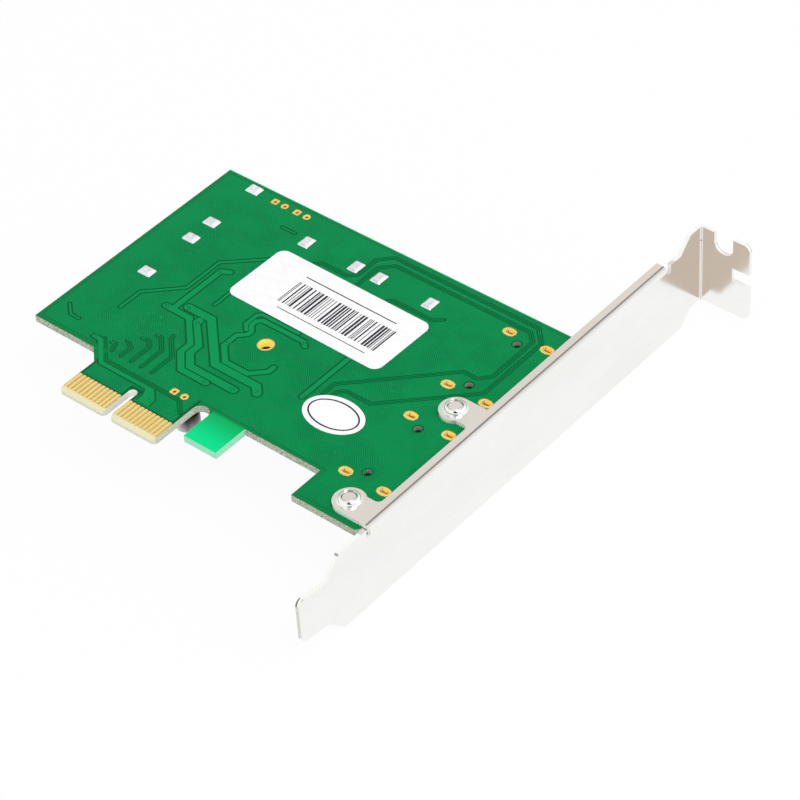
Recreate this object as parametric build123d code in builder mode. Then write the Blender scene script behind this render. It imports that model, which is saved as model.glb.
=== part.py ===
from build123d import *
import os
from math import atan2, cos, radians, sin

# Storage controller card with four internal SATA ports, lying solder side up.
# Millimetres. X runs along the card towards its bracket, Y from the gold edge
# contacts to the top edge, +Z out of the solder side. The origin is the card
# edge datum: the key notch's centre line, at the contacts' insertion edge, half
# way through the board.

# Board
board_thickness = 1.6
board_height = 68.9
rear_length = 30.8
front_length = 58.0
body_edge = 12.5
foot_edge = 4.45
foot_start = 42.2
tab_end = 23.75
shoulder_run = 3.0
key_width = 1.9
key_crown = 8.3
tongue_width = 11.15
notch_width = 3.65
notch_crown = 12.75
tongue_corner_radius = 0.8
foot_corner_radius = 1.2
bevel_length = 1.15
bevel_depth = 0.42
round_sides = 12
end_sides = 8
head_sides = 24

# Copper and edge contacts
copper_thickness = 0.05
copper_margin = 1.1
track_gap = 0.34
outer_lane_setback = 1.9
inner_lane_setback = 3.75
outer_lane_turn = 4.85
inner_lane_turn = 6.45
pad_gap = 0.3
contact_pitch = 1.0
contact_width = 0.7
contacts_per_tongue = 11
contact_start = 1.1
contact_end = 5.6

# Plated holes
peg_hole_radius = 0.85
port_slot_length = 2.1
port_slot_width = 1.0
port_rim_length = 3.1
port_rim_width = 2.3
port_slot_spacing = 9.0
port_slot_setback = 2.9
port_peg_setback = 8.5
port_slot_rows = 18.55
port_peg_rows = 14.4
port_pitch = 29.35
first_port_setback = 44.5
header_pitch = 2.54
header_pad = 1.75
header_hole_radius = 0.45
header_setback = 2.5
first_header_offset = 14.4
second_header_offset = 20.2
spare_holes_x = 6.1
spare_holes_y = 12.4
tie_hole_radius = 1.35
tie_rim_radius = 1.75
tie_hole_x = 11.1
tie_hole_y = 32.6

# Bracket
bracket_gap = 0.83
bracket_thickness = 0.86
bracket_height = 120.02
bracket_width = 18.42
bend_radius = 0.44
tab_depth = 11.43
tab_height = 106.9
tab_shift = 3.17
flare_rise = 4.3
tongue_end_width = 10.19
tongue_end_length = 6.4
tongue_end_radius = 1.4
tongue_end_lean = 0.7
screw_notch_width = 4.42
screw_notch_depth = 4.7
screw_notch_offset = 5.35
end_notch_width = 3.2
end_notch_depth = 4.0
end_notch_offset = 9.9
tab_corner = 1.7
lip_width = 2.6
lip_start = 6.0
lip_end_setback = 11.9
relief_width = 1.1
relief_depth = 1.75
ear_reach = 7.5
ear_radius = 3.25
ear_neck = 2.5
ear_relief_radius = 1.1
lower_ear = 9.1
upper_ear = 39.3
collar_height = 1.0
collar_base_radius = 2.05
collar_top_radius = 1.75
screw_radius = 1.5
thread_clearance = 0.02
screw_hole_clearance = 0.1
screw_head_radius = 2.8
screw_head_height = 1.9
screw_head_chamfer = 0.6
screw_recess_width = 0.7
screw_recess_length = 2.6
screw_recess_depth = 1.1
screw_tip_drop = 0.15

# Internal SATA ports
port_width = 16.6
port_depth = 10.4
port_tall = 7.0
port_front_setback = 0.3
cavity_width = 14.4
cavity_height = 4.9
cavity_depth = 6.6
cavity_floor = 1.0
blade_width = 11.0
blade_thickness = 1.2
blade_hook = 2.4
blade_length = 5.8
blade_rise = 1.9
mouth_chamfer = 0.4
window_width = 2.4
window_length = 1.8
window_setback = -3.0
window_spacing = 8.0
sata_contact_count = 7
sata_contact_pitch = 1.27
sata_contact_width = 0.75
sata_contact_thickness = 0.25
sata_tail_length = 1.7
lug_spacing = 12.8
lug_setback = 8.5
lug_thickness = 0.5
lug_width = 2.0
lug_anchor = 2.6
lug_slot_clearance = 0.15
lug_pad_length = 3.2
lug_pad_width = 2.5
lug_solder_height = 0.4
lug_solder_taper = 40.0
rear_port_setbacks = (27.45, 8.6)
top_port_places = (3.6, 22.3)

# Parts on the component side
chip_size = 9.0
chip_height = 0.85
chip_terminals = 12
chip_terminal_pitch = 0.65
terminal_height = 0.2
terminal_length = 0.45
chip_x = 14.0
chip_setback = 23.4
heat_pad_thickness = 0.5
sink_size = 19.0
sink_height = 7.0
sink_base = 2.0
sink_fins = 7
sink_fin_thickness = 1.1
flash_length = 4.9
flash_width = 3.9
flash_height = 1.5
flash_x = 38.0
flash_setback = 18.9
flash_leads_per_side = 4
flash_lead_pitch = 1.27
flash_lead_width = 0.42
regulator_length = 2.9
regulator_width = 1.6
regulator_height = 1.1
regulator_leads_per_side = 3
regulator_lead_pitch = 0.95
regulator_lead_width = 0.4
lead_thickness = 0.2
lead_standoff = 0.1
lead_reach = 1.05
coil_size = 4.2
coil_height = 2.0
coil_corner = 0.9
coil_edge = 0.3
crystal_length = 3.2
crystal_width = 2.5
crystal_base_height = 0.45
crystal_lid_height = 0.3
crystal_x = 31.0
crystal_setback = 28.9
can_radius = 2.5
can_height = 5.4
can_base_size = 5.3
can_base_height = 1.0
can_groove = 0.25
can_x = 8.6
can_y = 12.5
can_lead_width = 0.8
can_lead_reach = 0.5
chip_part_length = 1.6
chip_part_width = 0.8
chip_part_end = 0.35
capacitor_height = 0.8
resistor_height = 0.45
converter_x = (24.0, 38.0)
regulator_y = 29.0
coil_y = 22.5
coil_capacitor_offset = 4.2
regulator_resistor_offset = 3.4
edge_capacitor_count = 8
edge_capacitor_start = -10.4
edge_capacitor_pitch = 1.9
edge_capacitor_setback = 3.0
sink_capacitor_gap = 1.5
sink_capacitor_pitch = 6.0
resistor_row_count = 6
resistor_row_pitch = 1.6
resistor_row_drop = 5.5

# Labels
label_length = 38.6
label_width = 16.5
label_radius = 1.9
label_thickness = 0.1
label_x = 13.9
label_setback = 21.3
label_turn = -0.8
sticker_length = 13.3
sticker_width = 9.3
sticker_x = 34.5
sticker_y = 25.2

# Derived places
solder_face = board_thickness / 2
component_face = -board_thickness / 2
copper_face = solder_face + copper_thickness
rear_edge = -rear_length
front_edge = front_length
key_half = key_width / 2
tongue_out = key_half + tongue_width
notch_radius = notch_width / 2
plate_inner = front_edge + bracket_gap
plate_outer = plate_inner + bracket_thickness
lip_top = copper_face + bracket_thickness
plate_low = lip_top - bracket_width
tongue_tip = tab_height - bracket_height
lip_end = tab_height - lip_end_setback
ear_x = plate_outer - ear_reach
ear_heights = (lower_ear, upper_ear)
slot_columns = (front_edge - port_slot_setback - port_slot_spacing, front_edge - port_slot_setback)
peg_column = front_edge - port_peg_setback
first_port_height = board_height - first_port_setback
port_heights = (first_port_height, first_port_height + port_pitch)
slot_rows = [y + side * port_slot_rows / 2 for y in port_heights for side in (-1, 1)]
slot_places = [(x, y) for y in slot_rows for x in slot_columns]
peg_places = [(peg_column, y + side * port_peg_rows / 2) for y in port_heights for side in (-1, 1)]

rear_port_heights = [board_height - setback for setback in rear_port_setbacks]
chip_y = board_height - chip_setback
flash_y = board_height - flash_setback
crystal_y = board_height - crystal_setback
label_y = board_height - label_setback

# Each header is a square pad and a round pad, one pitch apart
header_places = [
    (rear_edge + first_header_offset, board_height - header_setback),
    (rear_edge + second_header_offset, board_height - header_setback),
    (spare_holes_x, spare_holes_y),
]
square_pads = header_places
round_pads = [(x + header_pitch, y) for x, y in header_places]

# Both lugs of each internal port: rear ports face -X, top ports face +Y
rear_lugs = [
    (rear_edge + lug_setback, y + side * lug_spacing / 2) for y in rear_port_heights for side in (-1, 1)
]
top_lugs = [
    (x + side * lug_spacing / 2, board_height - lug_setback) for x in top_port_places for side in (-1, 1)
]

# Places on the component side
regulator_places = [(x, regulator_y) for x in converter_x]
coil_places = [(x, coil_y) for x in converter_x]
edge_capacitors = [
    (edge_capacitor_start + i * edge_capacitor_pitch, body_edge + edge_capacitor_setback)
    for i in range(edge_capacitor_count)
]
sink_capacitors = [
    (chip_x + side * (sink_size / 2 + sink_capacitor_gap), chip_y + i * sink_capacitor_pitch)
    for side in (-1, 1)
    for i in (-1, 0, 1)
]
coil_capacitors = [(x + side * coil_capacitor_offset, y) for x, y in coil_places for side in (-1, 1)]
capacitor_places = edge_capacitors + sink_capacitors + coil_capacitors
regulator_resistors = [
    (x + side * regulator_resistor_offset, y) for x, y in regulator_places for side in (-1, 1)
]
flash_resistors = [
    (flash_x + (i - (resistor_row_count - 1) / 2) * resistor_row_pitch, flash_y - resistor_row_drop)
    for i in range(resistor_row_count)
]
resistor_places = regulator_resistors + flash_resistors

os.makedirs("parts", exist_ok=True)


def save(builder, name):
    """Label a finished piece and write it to its own file."""
    builder.part.label = name
    export_step(builder.part, f"parts/{name}.step")


def draw_track(points, width):
    """A copper track of one width along straight runs, with round ends."""
    with BuildLine() as route:
        Polyline(*points)
    trace(route.line, line_width=width)
    with Locations(points[0], points[-1]):
        small_round(width / 2, sides=end_sides)


def small_round(radius, mode=Mode.ADD, sides=round_sides):
    """A round pad, hole, shank or head, drawn with a few sides."""
    RegularPolygon(radius, sides, mode=mode)


def oval(length, width, mode=Mode.ADD):
    """A small slot along X, its two round ends drawn with a few sides."""
    Rectangle(length - width, width, mode=mode)
    with GridLocations(length - width, 0, 2, 1):
        small_round(width / 2, mode, end_sides)


# Copper routes, as the centre lines of straight runs. Each is (width, points).
# Two lanes run along the top edge and turn down beside the bracket.
lane_outer = board_height - outer_lane_setback
lane_inner = board_height - inner_lane_setback
front_lane_outer = front_edge - outer_lane_turn
front_lane_inner = front_edge - inner_lane_turn
power_tracks = [
    (1.35, [(-12.2, 29.7), (-6.0, 29.65), (-0.6, 24.2), (-0.6, 21.4), (2.85, 17.7), (9.3, 17.65)]),
    (1.2, [(-10.5, 29.7), (-10.5, 43.6), (-8.8, 44.5)]),
    (1.65, [(-3.9, 30.2), (-3.9, 29.2), (0.9, 24.6), (0.9, 22.2), (3.7, 19.25), (14.9, 19.25)]),
    (1.7, [(-8.4, 31.9), (-2.3, 31.9), (7.1, 22.65), (17.6, 22.65), (19.1, 21.1)]),
    (1.15, [(4.8, 28.3), (4.8, 27.7), (8.2, 24.25)]),
    (1.1, [(8.0, 24.3), (13.9, 24.3), (16.7, 27.1), (16.7, 28.5)]),
    (1.0, [(4.8, 28.3), (4.8, 31.3), (6.35, 32.7), (6.35, 33.8), (5.1, 35.2), (5.1, 36.6), (6.0, 37.5)]),
    (1.0, [(6.0, 37.5), (16.3, 37.5), (17.5, 36.6)]),
    (0.75, [(5.3, 33.5), (4.0, 34.8), (4.0, 38.0), (4.8, 38.75), (14.0, 38.75)]),
    (1.0, [(26.45, 41.0), (26.45, 25.5)]),
    (0.9, [(-17.2, 14.85), (-15.55, 14.85), (-10.75, 10.05), (1.3, 10.05), (4.2, 7.2)]),
]
signal_tracks = [
    (0.55, [(-4.0, 53.2), (-12.6, 45.5), (-12.6, 36.0), (-19.1, 29.7), (-19.1, 24.1)]),
    (0.35, [(-9.9, 61.1), (-6.5, 61.1)]),
    (0.35, [(-27.8, 19.0), (-25.4, 16.85), (-23.1, 16.85)]),
    (0.5, [(-4.7, 40.0), (-4.7, 35.4)]),
]
# Differential pairs are drawn by their middle line and laid as two thin tracks
pair_width = 0.2
pair_spacing = 0.42
pair_channel = 1.05
pair_routes = [
    [(2.6, 56.0), (3.9, 57.3), (10.4, 57.3), (11.85, 58.7), (11.85, 64.4), (14.45, lane_outer),
     (front_edge - 8.0, lane_outer), (front_lane_outer, board_height - 5.05), (front_lane_outer, 46.4),
     (38.0, 31.6), (32.0, 31.6), (30.8, 30.4), (30.8, 29.0)],
    [(13.7, 55.5), (13.7, 62.8), (16.1, lane_inner), (front_edge - 8.5, lane_inner),
     (front_lane_inner, board_height - 5.75), (front_lane_inner, 51.0), (front_edge - 8.5, 48.85),
     (front_edge - 11.8, 48.85), (29.0, 31.8), (29.0, 28.5)],
    [(21.0, 55.5), (22.4, 56.85), (32.2, 56.85), (33.9, 58.3)],
    [(-13.3, 15.6), (-12.3, 15.6), (-11.4, 13.7)],
    [(-11.1, 17.7), (-9.05, 16.5), (-9.05, 13.6)],
    [(-9.3, 19.9), (-7.6, 20.0), (-6.35, 18.7), (-6.35, 13.6)],
    [(-7.5, 22.2), (-6.4, 22.1), (-3.7, 19.4), (-3.7, 13.6)],
    [(-4.9, 24.2), (-4.6, 23.0), (-0.95, 19.3), (-0.95, 13.6)],
    [(-15.1, 15.55), (-10.6, 11.05), (8.6, 11.05), (11.2, 8.45)],
]


# Circuit board: one outline with two tongues, the key, the hook notch and the foot
with BuildPart() as circuit_board:
    with BuildSketch(Plane.XY.offset(component_face)) as outline:
        with BuildLine():
            Polyline(
                (rear_edge, board_height),
                (rear_edge, body_edge),
                (-tongue_out - shoulder_run, body_edge),
                (-tongue_out, body_edge - shoulder_run),
                (-tongue_out, 0),
                (tongue_out, 0),
                (tongue_out, foot_edge),
                (tab_end, foot_edge),
                (tab_end, body_edge),
                (foot_start, body_edge),
                (foot_start, foot_edge),
                (front_edge, foot_edge),
                (front_edge, board_height),
                close=True,
            )
        make_face()
        with Locations((0, (key_crown - key_half) / 2)):
            Rectangle(key_width, key_crown - key_half, mode=Mode.SUBTRACT)
        with Locations((0, key_crown - key_half)):
            Circle(key_half, mode=Mode.SUBTRACT)
        with Locations((tongue_out + notch_radius, (notch_crown - notch_radius) / 2)):
            Rectangle(notch_width, notch_crown - notch_radius, mode=Mode.SUBTRACT)
        with Locations((tongue_out + notch_radius, notch_crown - notch_radius)):
            Circle(notch_radius, mode=Mode.SUBTRACT)
        fillet(outline.vertices().filter_by(lambda v: abs(v.Y) < key_half / 2), tongue_corner_radius)
        fillet(
            outline.vertices().sort_by_distance((front_edge, foot_edge, component_face))[0],
            foot_corner_radius,
        )
        with Locations(*slot_places):
            oval(port_slot_length, port_slot_width, mode=Mode.SUBTRACT)
        with Locations(*peg_places):
            small_round(peg_hole_radius, mode=Mode.SUBTRACT)
        with Locations(*square_pads, *round_pads):
            small_round(header_hole_radius, mode=Mode.SUBTRACT)
        with Locations((tie_hole_x, tie_hole_y)):
            Circle(tie_hole_radius, mode=Mode.SUBTRACT)
        with Locations(*[(ear_x, y) for y in ear_heights]):
            small_round(screw_radius + screw_hole_clearance, mode=Mode.SUBTRACT)
        with Locations(*rear_lugs):
            Rectangle(lug_width + 2 * lug_slot_clearance, lug_thickness + 2 * lug_slot_clearance,
                      mode=Mode.SUBTRACT)
        with Locations(*top_lugs):
            Rectangle(lug_thickness + 2 * lug_slot_clearance, lug_width + 2 * lug_slot_clearance,
                      mode=Mode.SUBTRACT)
    extrude(amount=board_thickness)
    # Both edges of the tongues' tips are bevelled for insertion
    with BuildSketch(Plane.YZ.offset(-tongue_out)):
        for side in (-1, 1):
            with BuildLine():
                Polyline(
                    (0, side * board_thickness / 2),
                    (bevel_length, side * board_thickness / 2),
                    (0, side * (board_thickness / 2 - bevel_depth)),
                    close=True,
                )
            make_face()
    extrude(amount=2 * tongue_out, mode=Mode.SUBTRACT)
save(circuit_board, "circuit_board")


# Ground copper under the solder mask, with a channel left round every track and pad
edge_inset = copper_margin
tongue_inset = copper_margin / 2
mask_end = contact_end + pad_gap
with BuildPart() as ground_copper:
    with BuildSketch(Plane.XY.offset(solder_face)):
        with BuildLine():
            Polyline(
                (rear_edge + edge_inset, board_height - edge_inset),
                (rear_edge + edge_inset, body_edge + edge_inset),
                (-tongue_out - shoulder_run + tongue_inset, body_edge + edge_inset),
                (-tongue_out + tongue_inset, body_edge - shoulder_run),
                (-tongue_out + tongue_inset, mask_end),
                (-key_half - tongue_inset, mask_end),
                (-key_half - tongue_inset, key_crown + tongue_inset),
                (key_half + tongue_inset, key_crown + tongue_inset),
                (key_half + tongue_inset, mask_end),
                (tongue_out - tongue_inset, mask_end),
                (tongue_out - tongue_inset, notch_crown + tongue_inset),
                (foot_start + edge_inset, notch_crown + tongue_inset),
                (foot_start + edge_inset, foot_edge + edge_inset),
                (front_edge - tongue_inset, foot_edge + edge_inset),
                (front_edge - tongue_inset, board_height - edge_inset),
                close=True,
            )
        make_face()
    extrude(amount=copper_thickness)
    with BuildSketch(Plane.XY.offset(solder_face)):
        for width, points in power_tracks + signal_tracks:
            draw_track(points, width + 2 * track_gap)
        for points in pair_routes:
            draw_track(points, pair_channel)
        with Locations(*slot_places):
            oval(port_rim_length, port_rim_width)
        with Locations(*peg_places):
            small_round(peg_hole_radius + pad_gap)
        with Locations(*square_pads):
            Rectangle(header_pad, header_pad)
        with Locations(*round_pads):
            small_round(header_pad / 2)
        with Locations((tie_hole_x, tie_hole_y)):
            Circle(tie_rim_radius)
        with Locations(*[(ear_x, y) for y in ear_heights]):
            small_round(screw_radius + screw_hole_clearance + pad_gap)
        with Locations(*rear_lugs):
            Rectangle(lug_pad_length, lug_pad_width)
        with Locations(*top_lugs):
            Rectangle(lug_pad_width, lug_pad_length)
    extrude(amount=copper_thickness, mode=Mode.SUBTRACT)
save(ground_copper, "solder_side_ground_copper")

with BuildPart() as power_copper:
    with BuildSketch(Plane.XY.offset(solder_face)):
        for width, points in power_tracks + signal_tracks:
            draw_track(points, width)
    extrude(amount=copper_thickness)
save(power_copper, "solder_side_power_tracks")

# Each differential pair is a band with its middle left out
with BuildPart() as pair_copper:
    with BuildSketch(Plane.XY.offset(solder_face)):
        for points in pair_routes:
            with BuildLine():
                Polyline(*points)
            trace(line_width=pair_spacing + pair_width)
        for points in pair_routes:
            with BuildLine():
                Polyline(*points)
            trace(line_width=pair_spacing - pair_width, mode=Mode.SUBTRACT)
    extrude(amount=copper_thickness)
save(pair_copper, "solder_side_signal_pairs")

# Gold edge contacts, the same row on both faces of both tongues
first_contact = key_half + (tongue_width - (contacts_per_tongue - 1) * contact_pitch) / 2
contact_places = [
    (side * (first_contact + i * contact_pitch), (contact_start + contact_end) / 2)
    for side in (-1, 1)
    for i in range(contacts_per_tongue)
]
contact_faces = {
    "edge_contacts_solder_side": solder_face,
    "edge_contacts_component_side": component_face - copper_thickness,
}
for name, height in contact_faces.items():
    with BuildPart() as edge_contacts:
        with BuildSketch(Plane.XY.offset(height)):
            with Locations(*contact_places):
                Rectangle(contact_width, contact_end - contact_start)
        extrude(amount=copper_thickness)
    save(edge_contacts, name)

# Gold rims on the solder side, round the slots, the header holes and the mounting hole
with BuildPart() as slot_plating:
    with BuildSketch(Plane.XY.offset(solder_face)):
        with Locations(*slot_places):
            oval(port_rim_length, port_rim_width)
            oval(port_slot_length, port_slot_width, mode=Mode.SUBTRACT)
    extrude(amount=copper_thickness)
save(slot_plating, "port_slot_plating")

with BuildPart() as header_plating:
    with BuildSketch(Plane.XY.offset(solder_face)):
        with Locations(*square_pads):
            Rectangle(header_pad, header_pad)
        with Locations(*round_pads):
            small_round(header_pad / 2)
        with Locations(*square_pads, *round_pads):
            small_round(header_hole_radius, mode=Mode.SUBTRACT)
    extrude(amount=copper_thickness)
save(header_plating, "header_pads")

with BuildPart() as tie_plating:
    with BuildSketch(Plane.XY.offset(solder_face)):
        with Locations((tie_hole_x, tie_hole_y)):
            Circle(tie_rim_radius)
            Circle(tie_hole_radius, mode=Mode.SUBTRACT)
    extrude(amount=copper_thickness)
save(tie_plating, "mounting_hole_plating")

# Bracket: a flat plate with a bent tab, a bent lip along the board and two ears
with BuildPart() as bracket:
    plate_plane = Plane(origin=(plate_inner, 0, 0), x_dir=(0, 1, 0), z_dir=(1, 0, 0))
    end_step = (bracket_width - tongue_end_width) / 2
    flare_end = tab_height - flare_rise
    tab_low = plate_low + tab_shift
    tongue_hinge = tongue_tip + tongue_end_length
    with BuildSketch(plate_plane):
        with BuildLine():
            Polyline(
                (tongue_hinge, plate_low + end_step),
                (tongue_hinge + end_step, plate_low),
                (flare_end - tab_shift, plate_low),
                (flare_end, tab_low),
                (tab_height, tab_low),
                (tab_height, lip_top + tab_shift),
                (flare_end, lip_top + tab_shift),
                (flare_end - tab_shift, lip_top),
                (tongue_hinge + end_step, lip_top),
                (tongue_hinge, lip_top - end_step),
                close=True,
            )
        make_face()
    extrude(amount=bracket_thickness)
    # The tongue's end leans a little towards the board
    lean = atan2(tongue_end_lean, tongue_end_length)
    hinge_overlap = bracket_thickness * sin(lean)
    tongue_plane = Plane(
        origin=(plate_inner, tongue_hinge, plate_low + bracket_width / 2),
        x_dir=(sin(lean), cos(lean), 0),
        z_dir=(cos(lean), -sin(lean), 0),
    )
    with BuildSketch(tongue_plane) as tongue:
        with Locations(((hinge_overlap - tongue_end_length) / 2, 0)):
            Rectangle(tongue_end_length + hinge_overlap, tongue_end_width)
        fillet(tongue.vertices().group_by(Axis.X)[0], tongue_end_radius)
    extrude(amount=bracket_thickness)
    # Mounting tab, with the open notch for the case screw and a second notch in its end
    tab_plane = Plane(origin=(0, tab_height - bracket_thickness, 0), x_dir=(1, 0, 0), z_dir=(0, 1, 0))
    tab_tip = plate_outer + tab_depth
    with BuildSketch(tab_plane) as tab:
        with BuildLine():
            Polyline(
                (plate_inner, -tab_low),
                (tab_tip, -tab_low),
                (tab_tip, -tab_low - bracket_width),
                (plate_inner, -tab_low - bracket_width),
                close=True,
            )
        make_face()
        tab_ends = tab.vertices().group_by(Axis.X)[-1]
        fillet(tab_ends, tab_corner)
        notch_y = -tab_low - bracket_width
        notch_x = plate_outer + screw_notch_offset
        notch_straight = screw_notch_depth - screw_notch_width / 2
        with Locations((notch_x, notch_y)):
            Rectangle(screw_notch_width, 2 * notch_straight, mode=Mode.SUBTRACT)
        with Locations((notch_x, notch_y + notch_straight)):
            Circle(screw_notch_width / 2, mode=Mode.SUBTRACT)
        with Locations((tab_tip, -tab_low - end_notch_offset)):
            Rectangle(2 * end_notch_depth, end_notch_width, mode=Mode.SUBTRACT)
    extrude(amount=bracket_thickness)
    # Lip and ears lie on the board
    with BuildSketch(Plane.XY.offset(copper_face)) as flange:
        with Locations((plate_outer - lip_width / 2, (lip_start + lip_end) / 2)):
            Rectangle(lip_width, lip_end - lip_start)
        for y, side in zip(ear_heights, (-1, 1)):
            with Locations((ear_x, y)):
                Circle(ear_radius)
            with BuildLine():
                Polyline(
                    (ear_x, y + side * ear_radius),
                    (plate_inner, y + side * ear_radius),
                    (plate_inner, y - side * ear_neck),
                    (ear_x, y - side * ear_neck),
                    close=True,
                )
            make_face()
        neck_corners = [
            flange.vertices().sort_by_distance((plate_outer - lip_width, y - side * ear_neck, copper_face))[0]
            for y, side in zip(ear_heights, (-1, 1))
        ]
        fillet(neck_corners, ear_relief_radius)
    extrude(amount=bracket_thickness)
    with BuildSketch(plate_plane):
        with Locations((lip_start - relief_width / 2, lip_top), (lip_end + relief_width / 2, lip_top)):
            Rectangle(relief_width, 2 * relief_depth)
    extrude(amount=bracket_thickness, mode=Mode.SUBTRACT)
    # Bends: outside and inside radius of the tab's fold and of the lip's fold
    outer_bend = bend_radius + bracket_thickness
    tab_fold = bracket.edges().filter_by(Axis.Z)
    fillet(tab_fold.sort_by_distance((plate_inner, tab_height, tab_low))[0], outer_bend)
    tab_fold = bracket.edges().filter_by(Axis.Z)
    fillet(tab_fold.sort_by_distance((plate_outer, tab_height - bracket_thickness, tab_low))[0], bend_radius)
    lip_middle = (lip_start + lip_end) / 2
    lip_fold = bracket.edges().filter_by(Axis.Y)
    fillet(lip_fold.sort_by_distance((plate_outer, lip_middle, lip_top))[0], outer_bend)
    lip_fold = bracket.edges().filter_by(Axis.Y)
    fillet(lip_fold.sort_by_distance((plate_inner, lip_middle, copper_face))[0], bend_radius)
    # Each ear's screw hole is drawn out into a collar
    seated = (Align.CENTER, Align.CENTER, Align.MIN)
    with Locations(*[(ear_x, y, lip_top) for y in ear_heights]):
        Cone(collar_base_radius, collar_top_radius, collar_height, align=seated)
    with Locations(*[(ear_x, y, lip_top + collar_height) for y in ear_heights]):
        Hole(screw_radius + thread_clearance, depth=collar_height + bracket_thickness)
save(bracket, "bracket")

# Pan head screws from the component side, threaded into the collars
screw_tip = lip_top + collar_height - screw_tip_drop
with BuildPart() as bracket_screws:
    with BuildSketch(Plane.XY.offset(component_face)):
        with Locations(*[(ear_x, y) for y in ear_heights]):
            small_round(screw_head_radius, sides=head_sides)
    extrude(amount=-screw_head_height)
    chamfer(bracket_screws.edges().group_by(Axis.Z)[0], screw_head_chamfer)
    with BuildSketch(Plane.XY.offset(component_face)):
        with Locations(*[(ear_x, y) for y in ear_heights]):
            small_round(screw_radius)
    extrude(amount=screw_tip - component_face)
    chamfer(bracket_screws.edges().group_by(Axis.Z)[-1], screw_radius / 5)
    with BuildSketch(Plane.XY.offset(component_face - screw_head_height)):
        with Locations(*[(ear_x, y) for y in ear_heights]):
            Rectangle(screw_recess_length, screw_recess_width)
            Rectangle(screw_recess_width, screw_recess_length)
    extrude(amount=screw_recess_depth, mode=Mode.SUBTRACT)
save(bracket_screws, "bracket_screws")


def sata_port(number, mouth):
    """One right-angle port. The plane lies in its mouth: x along the row of
    contacts, y away from the board, z out of the mouth."""
    rearward = -mouth.z_dir
    contact_shift = -blade_thickness / 3
    places = [
        (i - (sata_contact_count - 1) / 2) * sata_contact_pitch + contact_shift
        for i in range(sata_contact_count)
    ]
    contact_level = blade_rise
    with BuildPart() as contacts:
        for place in places:
            side_plane = Plane(mouth.origin + mouth.x_dir * place, x_dir=rearward, z_dir=mouth.x_dir)
            with BuildSketch(side_plane):
                with BuildLine() as path:
                    Polyline(
                        (cavity_depth - blade_length + sata_contact_thickness, contact_level),
                        (port_depth + sata_contact_thickness, contact_level),
                        (port_depth + 2 * sata_contact_thickness, sata_contact_thickness / 2),
                        (port_depth + sata_tail_length, sata_contact_thickness / 2),
                    )
                trace(line_width=sata_contact_thickness)
            extrude(amount=sata_contact_width / 2, both=True)
    save(contacts, f"sata_contacts_{number}")

    with BuildPart() as locks:
        for side in (-1, 1):
            lug_origin = mouth.origin + mouth.x_dir * side * lug_spacing / 2
            with BuildSketch(Plane(lug_origin, x_dir=rearward, z_dir=mouth.x_dir)):
                with Locations((lug_setback - port_front_setback, (lug_anchor - board_thickness) / 2)):
                    Rectangle(lug_width, lug_anchor + board_thickness)
            extrude(amount=lug_thickness / 2, both=True)
    save(locks, f"sata_board_locks_{number}")

    with BuildPart() as housing:
        with BuildSketch(mouth):
            with Locations((0, port_tall / 2)):
                Rectangle(port_width, port_tall)
        extrude(amount=-port_depth)
        with BuildSketch(mouth):
            with Locations((0, cavity_floor + cavity_height / 2)):
                Rectangle(cavity_width, cavity_height)
        extrude(amount=-cavity_depth, mode=Mode.SUBTRACT)
        mouth_axis = Axis(mouth.origin, mouth.z_dir)
        mouth_face = housing.faces().filter_by(mouth_axis).sort_by(mouth_axis)[-1]
        chamfer(mouth_face.inner_wires()[0].edges(), mouth_chamfer)
        with BuildSketch(mouth.offset(-cavity_depth)):
            with Locations((0, blade_rise + blade_thickness / 2)):
                Rectangle(blade_width, blade_thickness)
            with Locations(((blade_width - blade_thickness) / 2, blade_rise + blade_hook / 2)):
                Rectangle(blade_thickness, blade_hook)
        extrude(amount=blade_length)
        # Latch windows in the wall away from the board
        top_plane = Plane(mouth.origin + mouth.y_dir * port_tall, x_dir=mouth.x_dir, z_dir=mouth.y_dir)
        with BuildSketch(top_plane):
            with Locations(*[(side * window_spacing / 2, window_setback) for side in (-1, 1)]):
                Rectangle(window_width, window_length)
        extrude(amount=cavity_floor + cavity_height - port_tall, mode=Mode.SUBTRACT)
        add(contacts.part, mode=Mode.SUBTRACT)
        add(locks.part, mode=Mode.SUBTRACT)
    save(housing, f"sata_housing_{number}")


rear_mouths = [
    Plane((rear_edge + port_front_setback, y, component_face), x_dir=(0, 1, 0), z_dir=(-1, 0, 0))
    for y in rear_port_heights
]
top_mouths = [
    Plane((x, board_height - port_front_setback, component_face), x_dir=(1, 0, 0), z_dir=(0, 1, 0))
    for x in top_port_places
]
for number, mouth in enumerate(rear_mouths + top_mouths, start=1):
    sata_port(number, mouth)

# Solder over the board locks, with sloping sides
with BuildPart() as lug_solder:
    with BuildSketch(Plane.XY.offset(solder_face)):
        with Locations(*rear_lugs):
            Rectangle(lug_pad_length, lug_pad_width)
        with Locations(*top_lugs):
            Rectangle(lug_pad_width, lug_pad_length)
    extrude(amount=lug_solder_height, taper=lug_solder_taper)
save(lug_solder, "board_lock_solder")

# Controller: a flat leadless package under an adhesive heat sink
chip_face = component_face - chip_height
with BuildPart() as terminals:
    with BuildSketch(Plane.XY.offset(component_face)):
        with Locations((chip_x, chip_y)):
            with PolarLocations((chip_size - terminal_length) / 2, 4):
                with GridLocations(0, chip_terminal_pitch, 1, chip_terminals):
                    Rectangle(terminal_length, chip_terminal_pitch / 2)
    extrude(amount=-terminal_height)
save(terminals, "controller_terminals")

with BuildPart() as controller:
    with BuildSketch(Plane.XY.offset(component_face - terminal_height)):
        with Locations((chip_x, chip_y)):
            Rectangle(chip_size, chip_size)
    extrude(amount=terminal_height - chip_height)
save(controller, "controller_chip")

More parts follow.
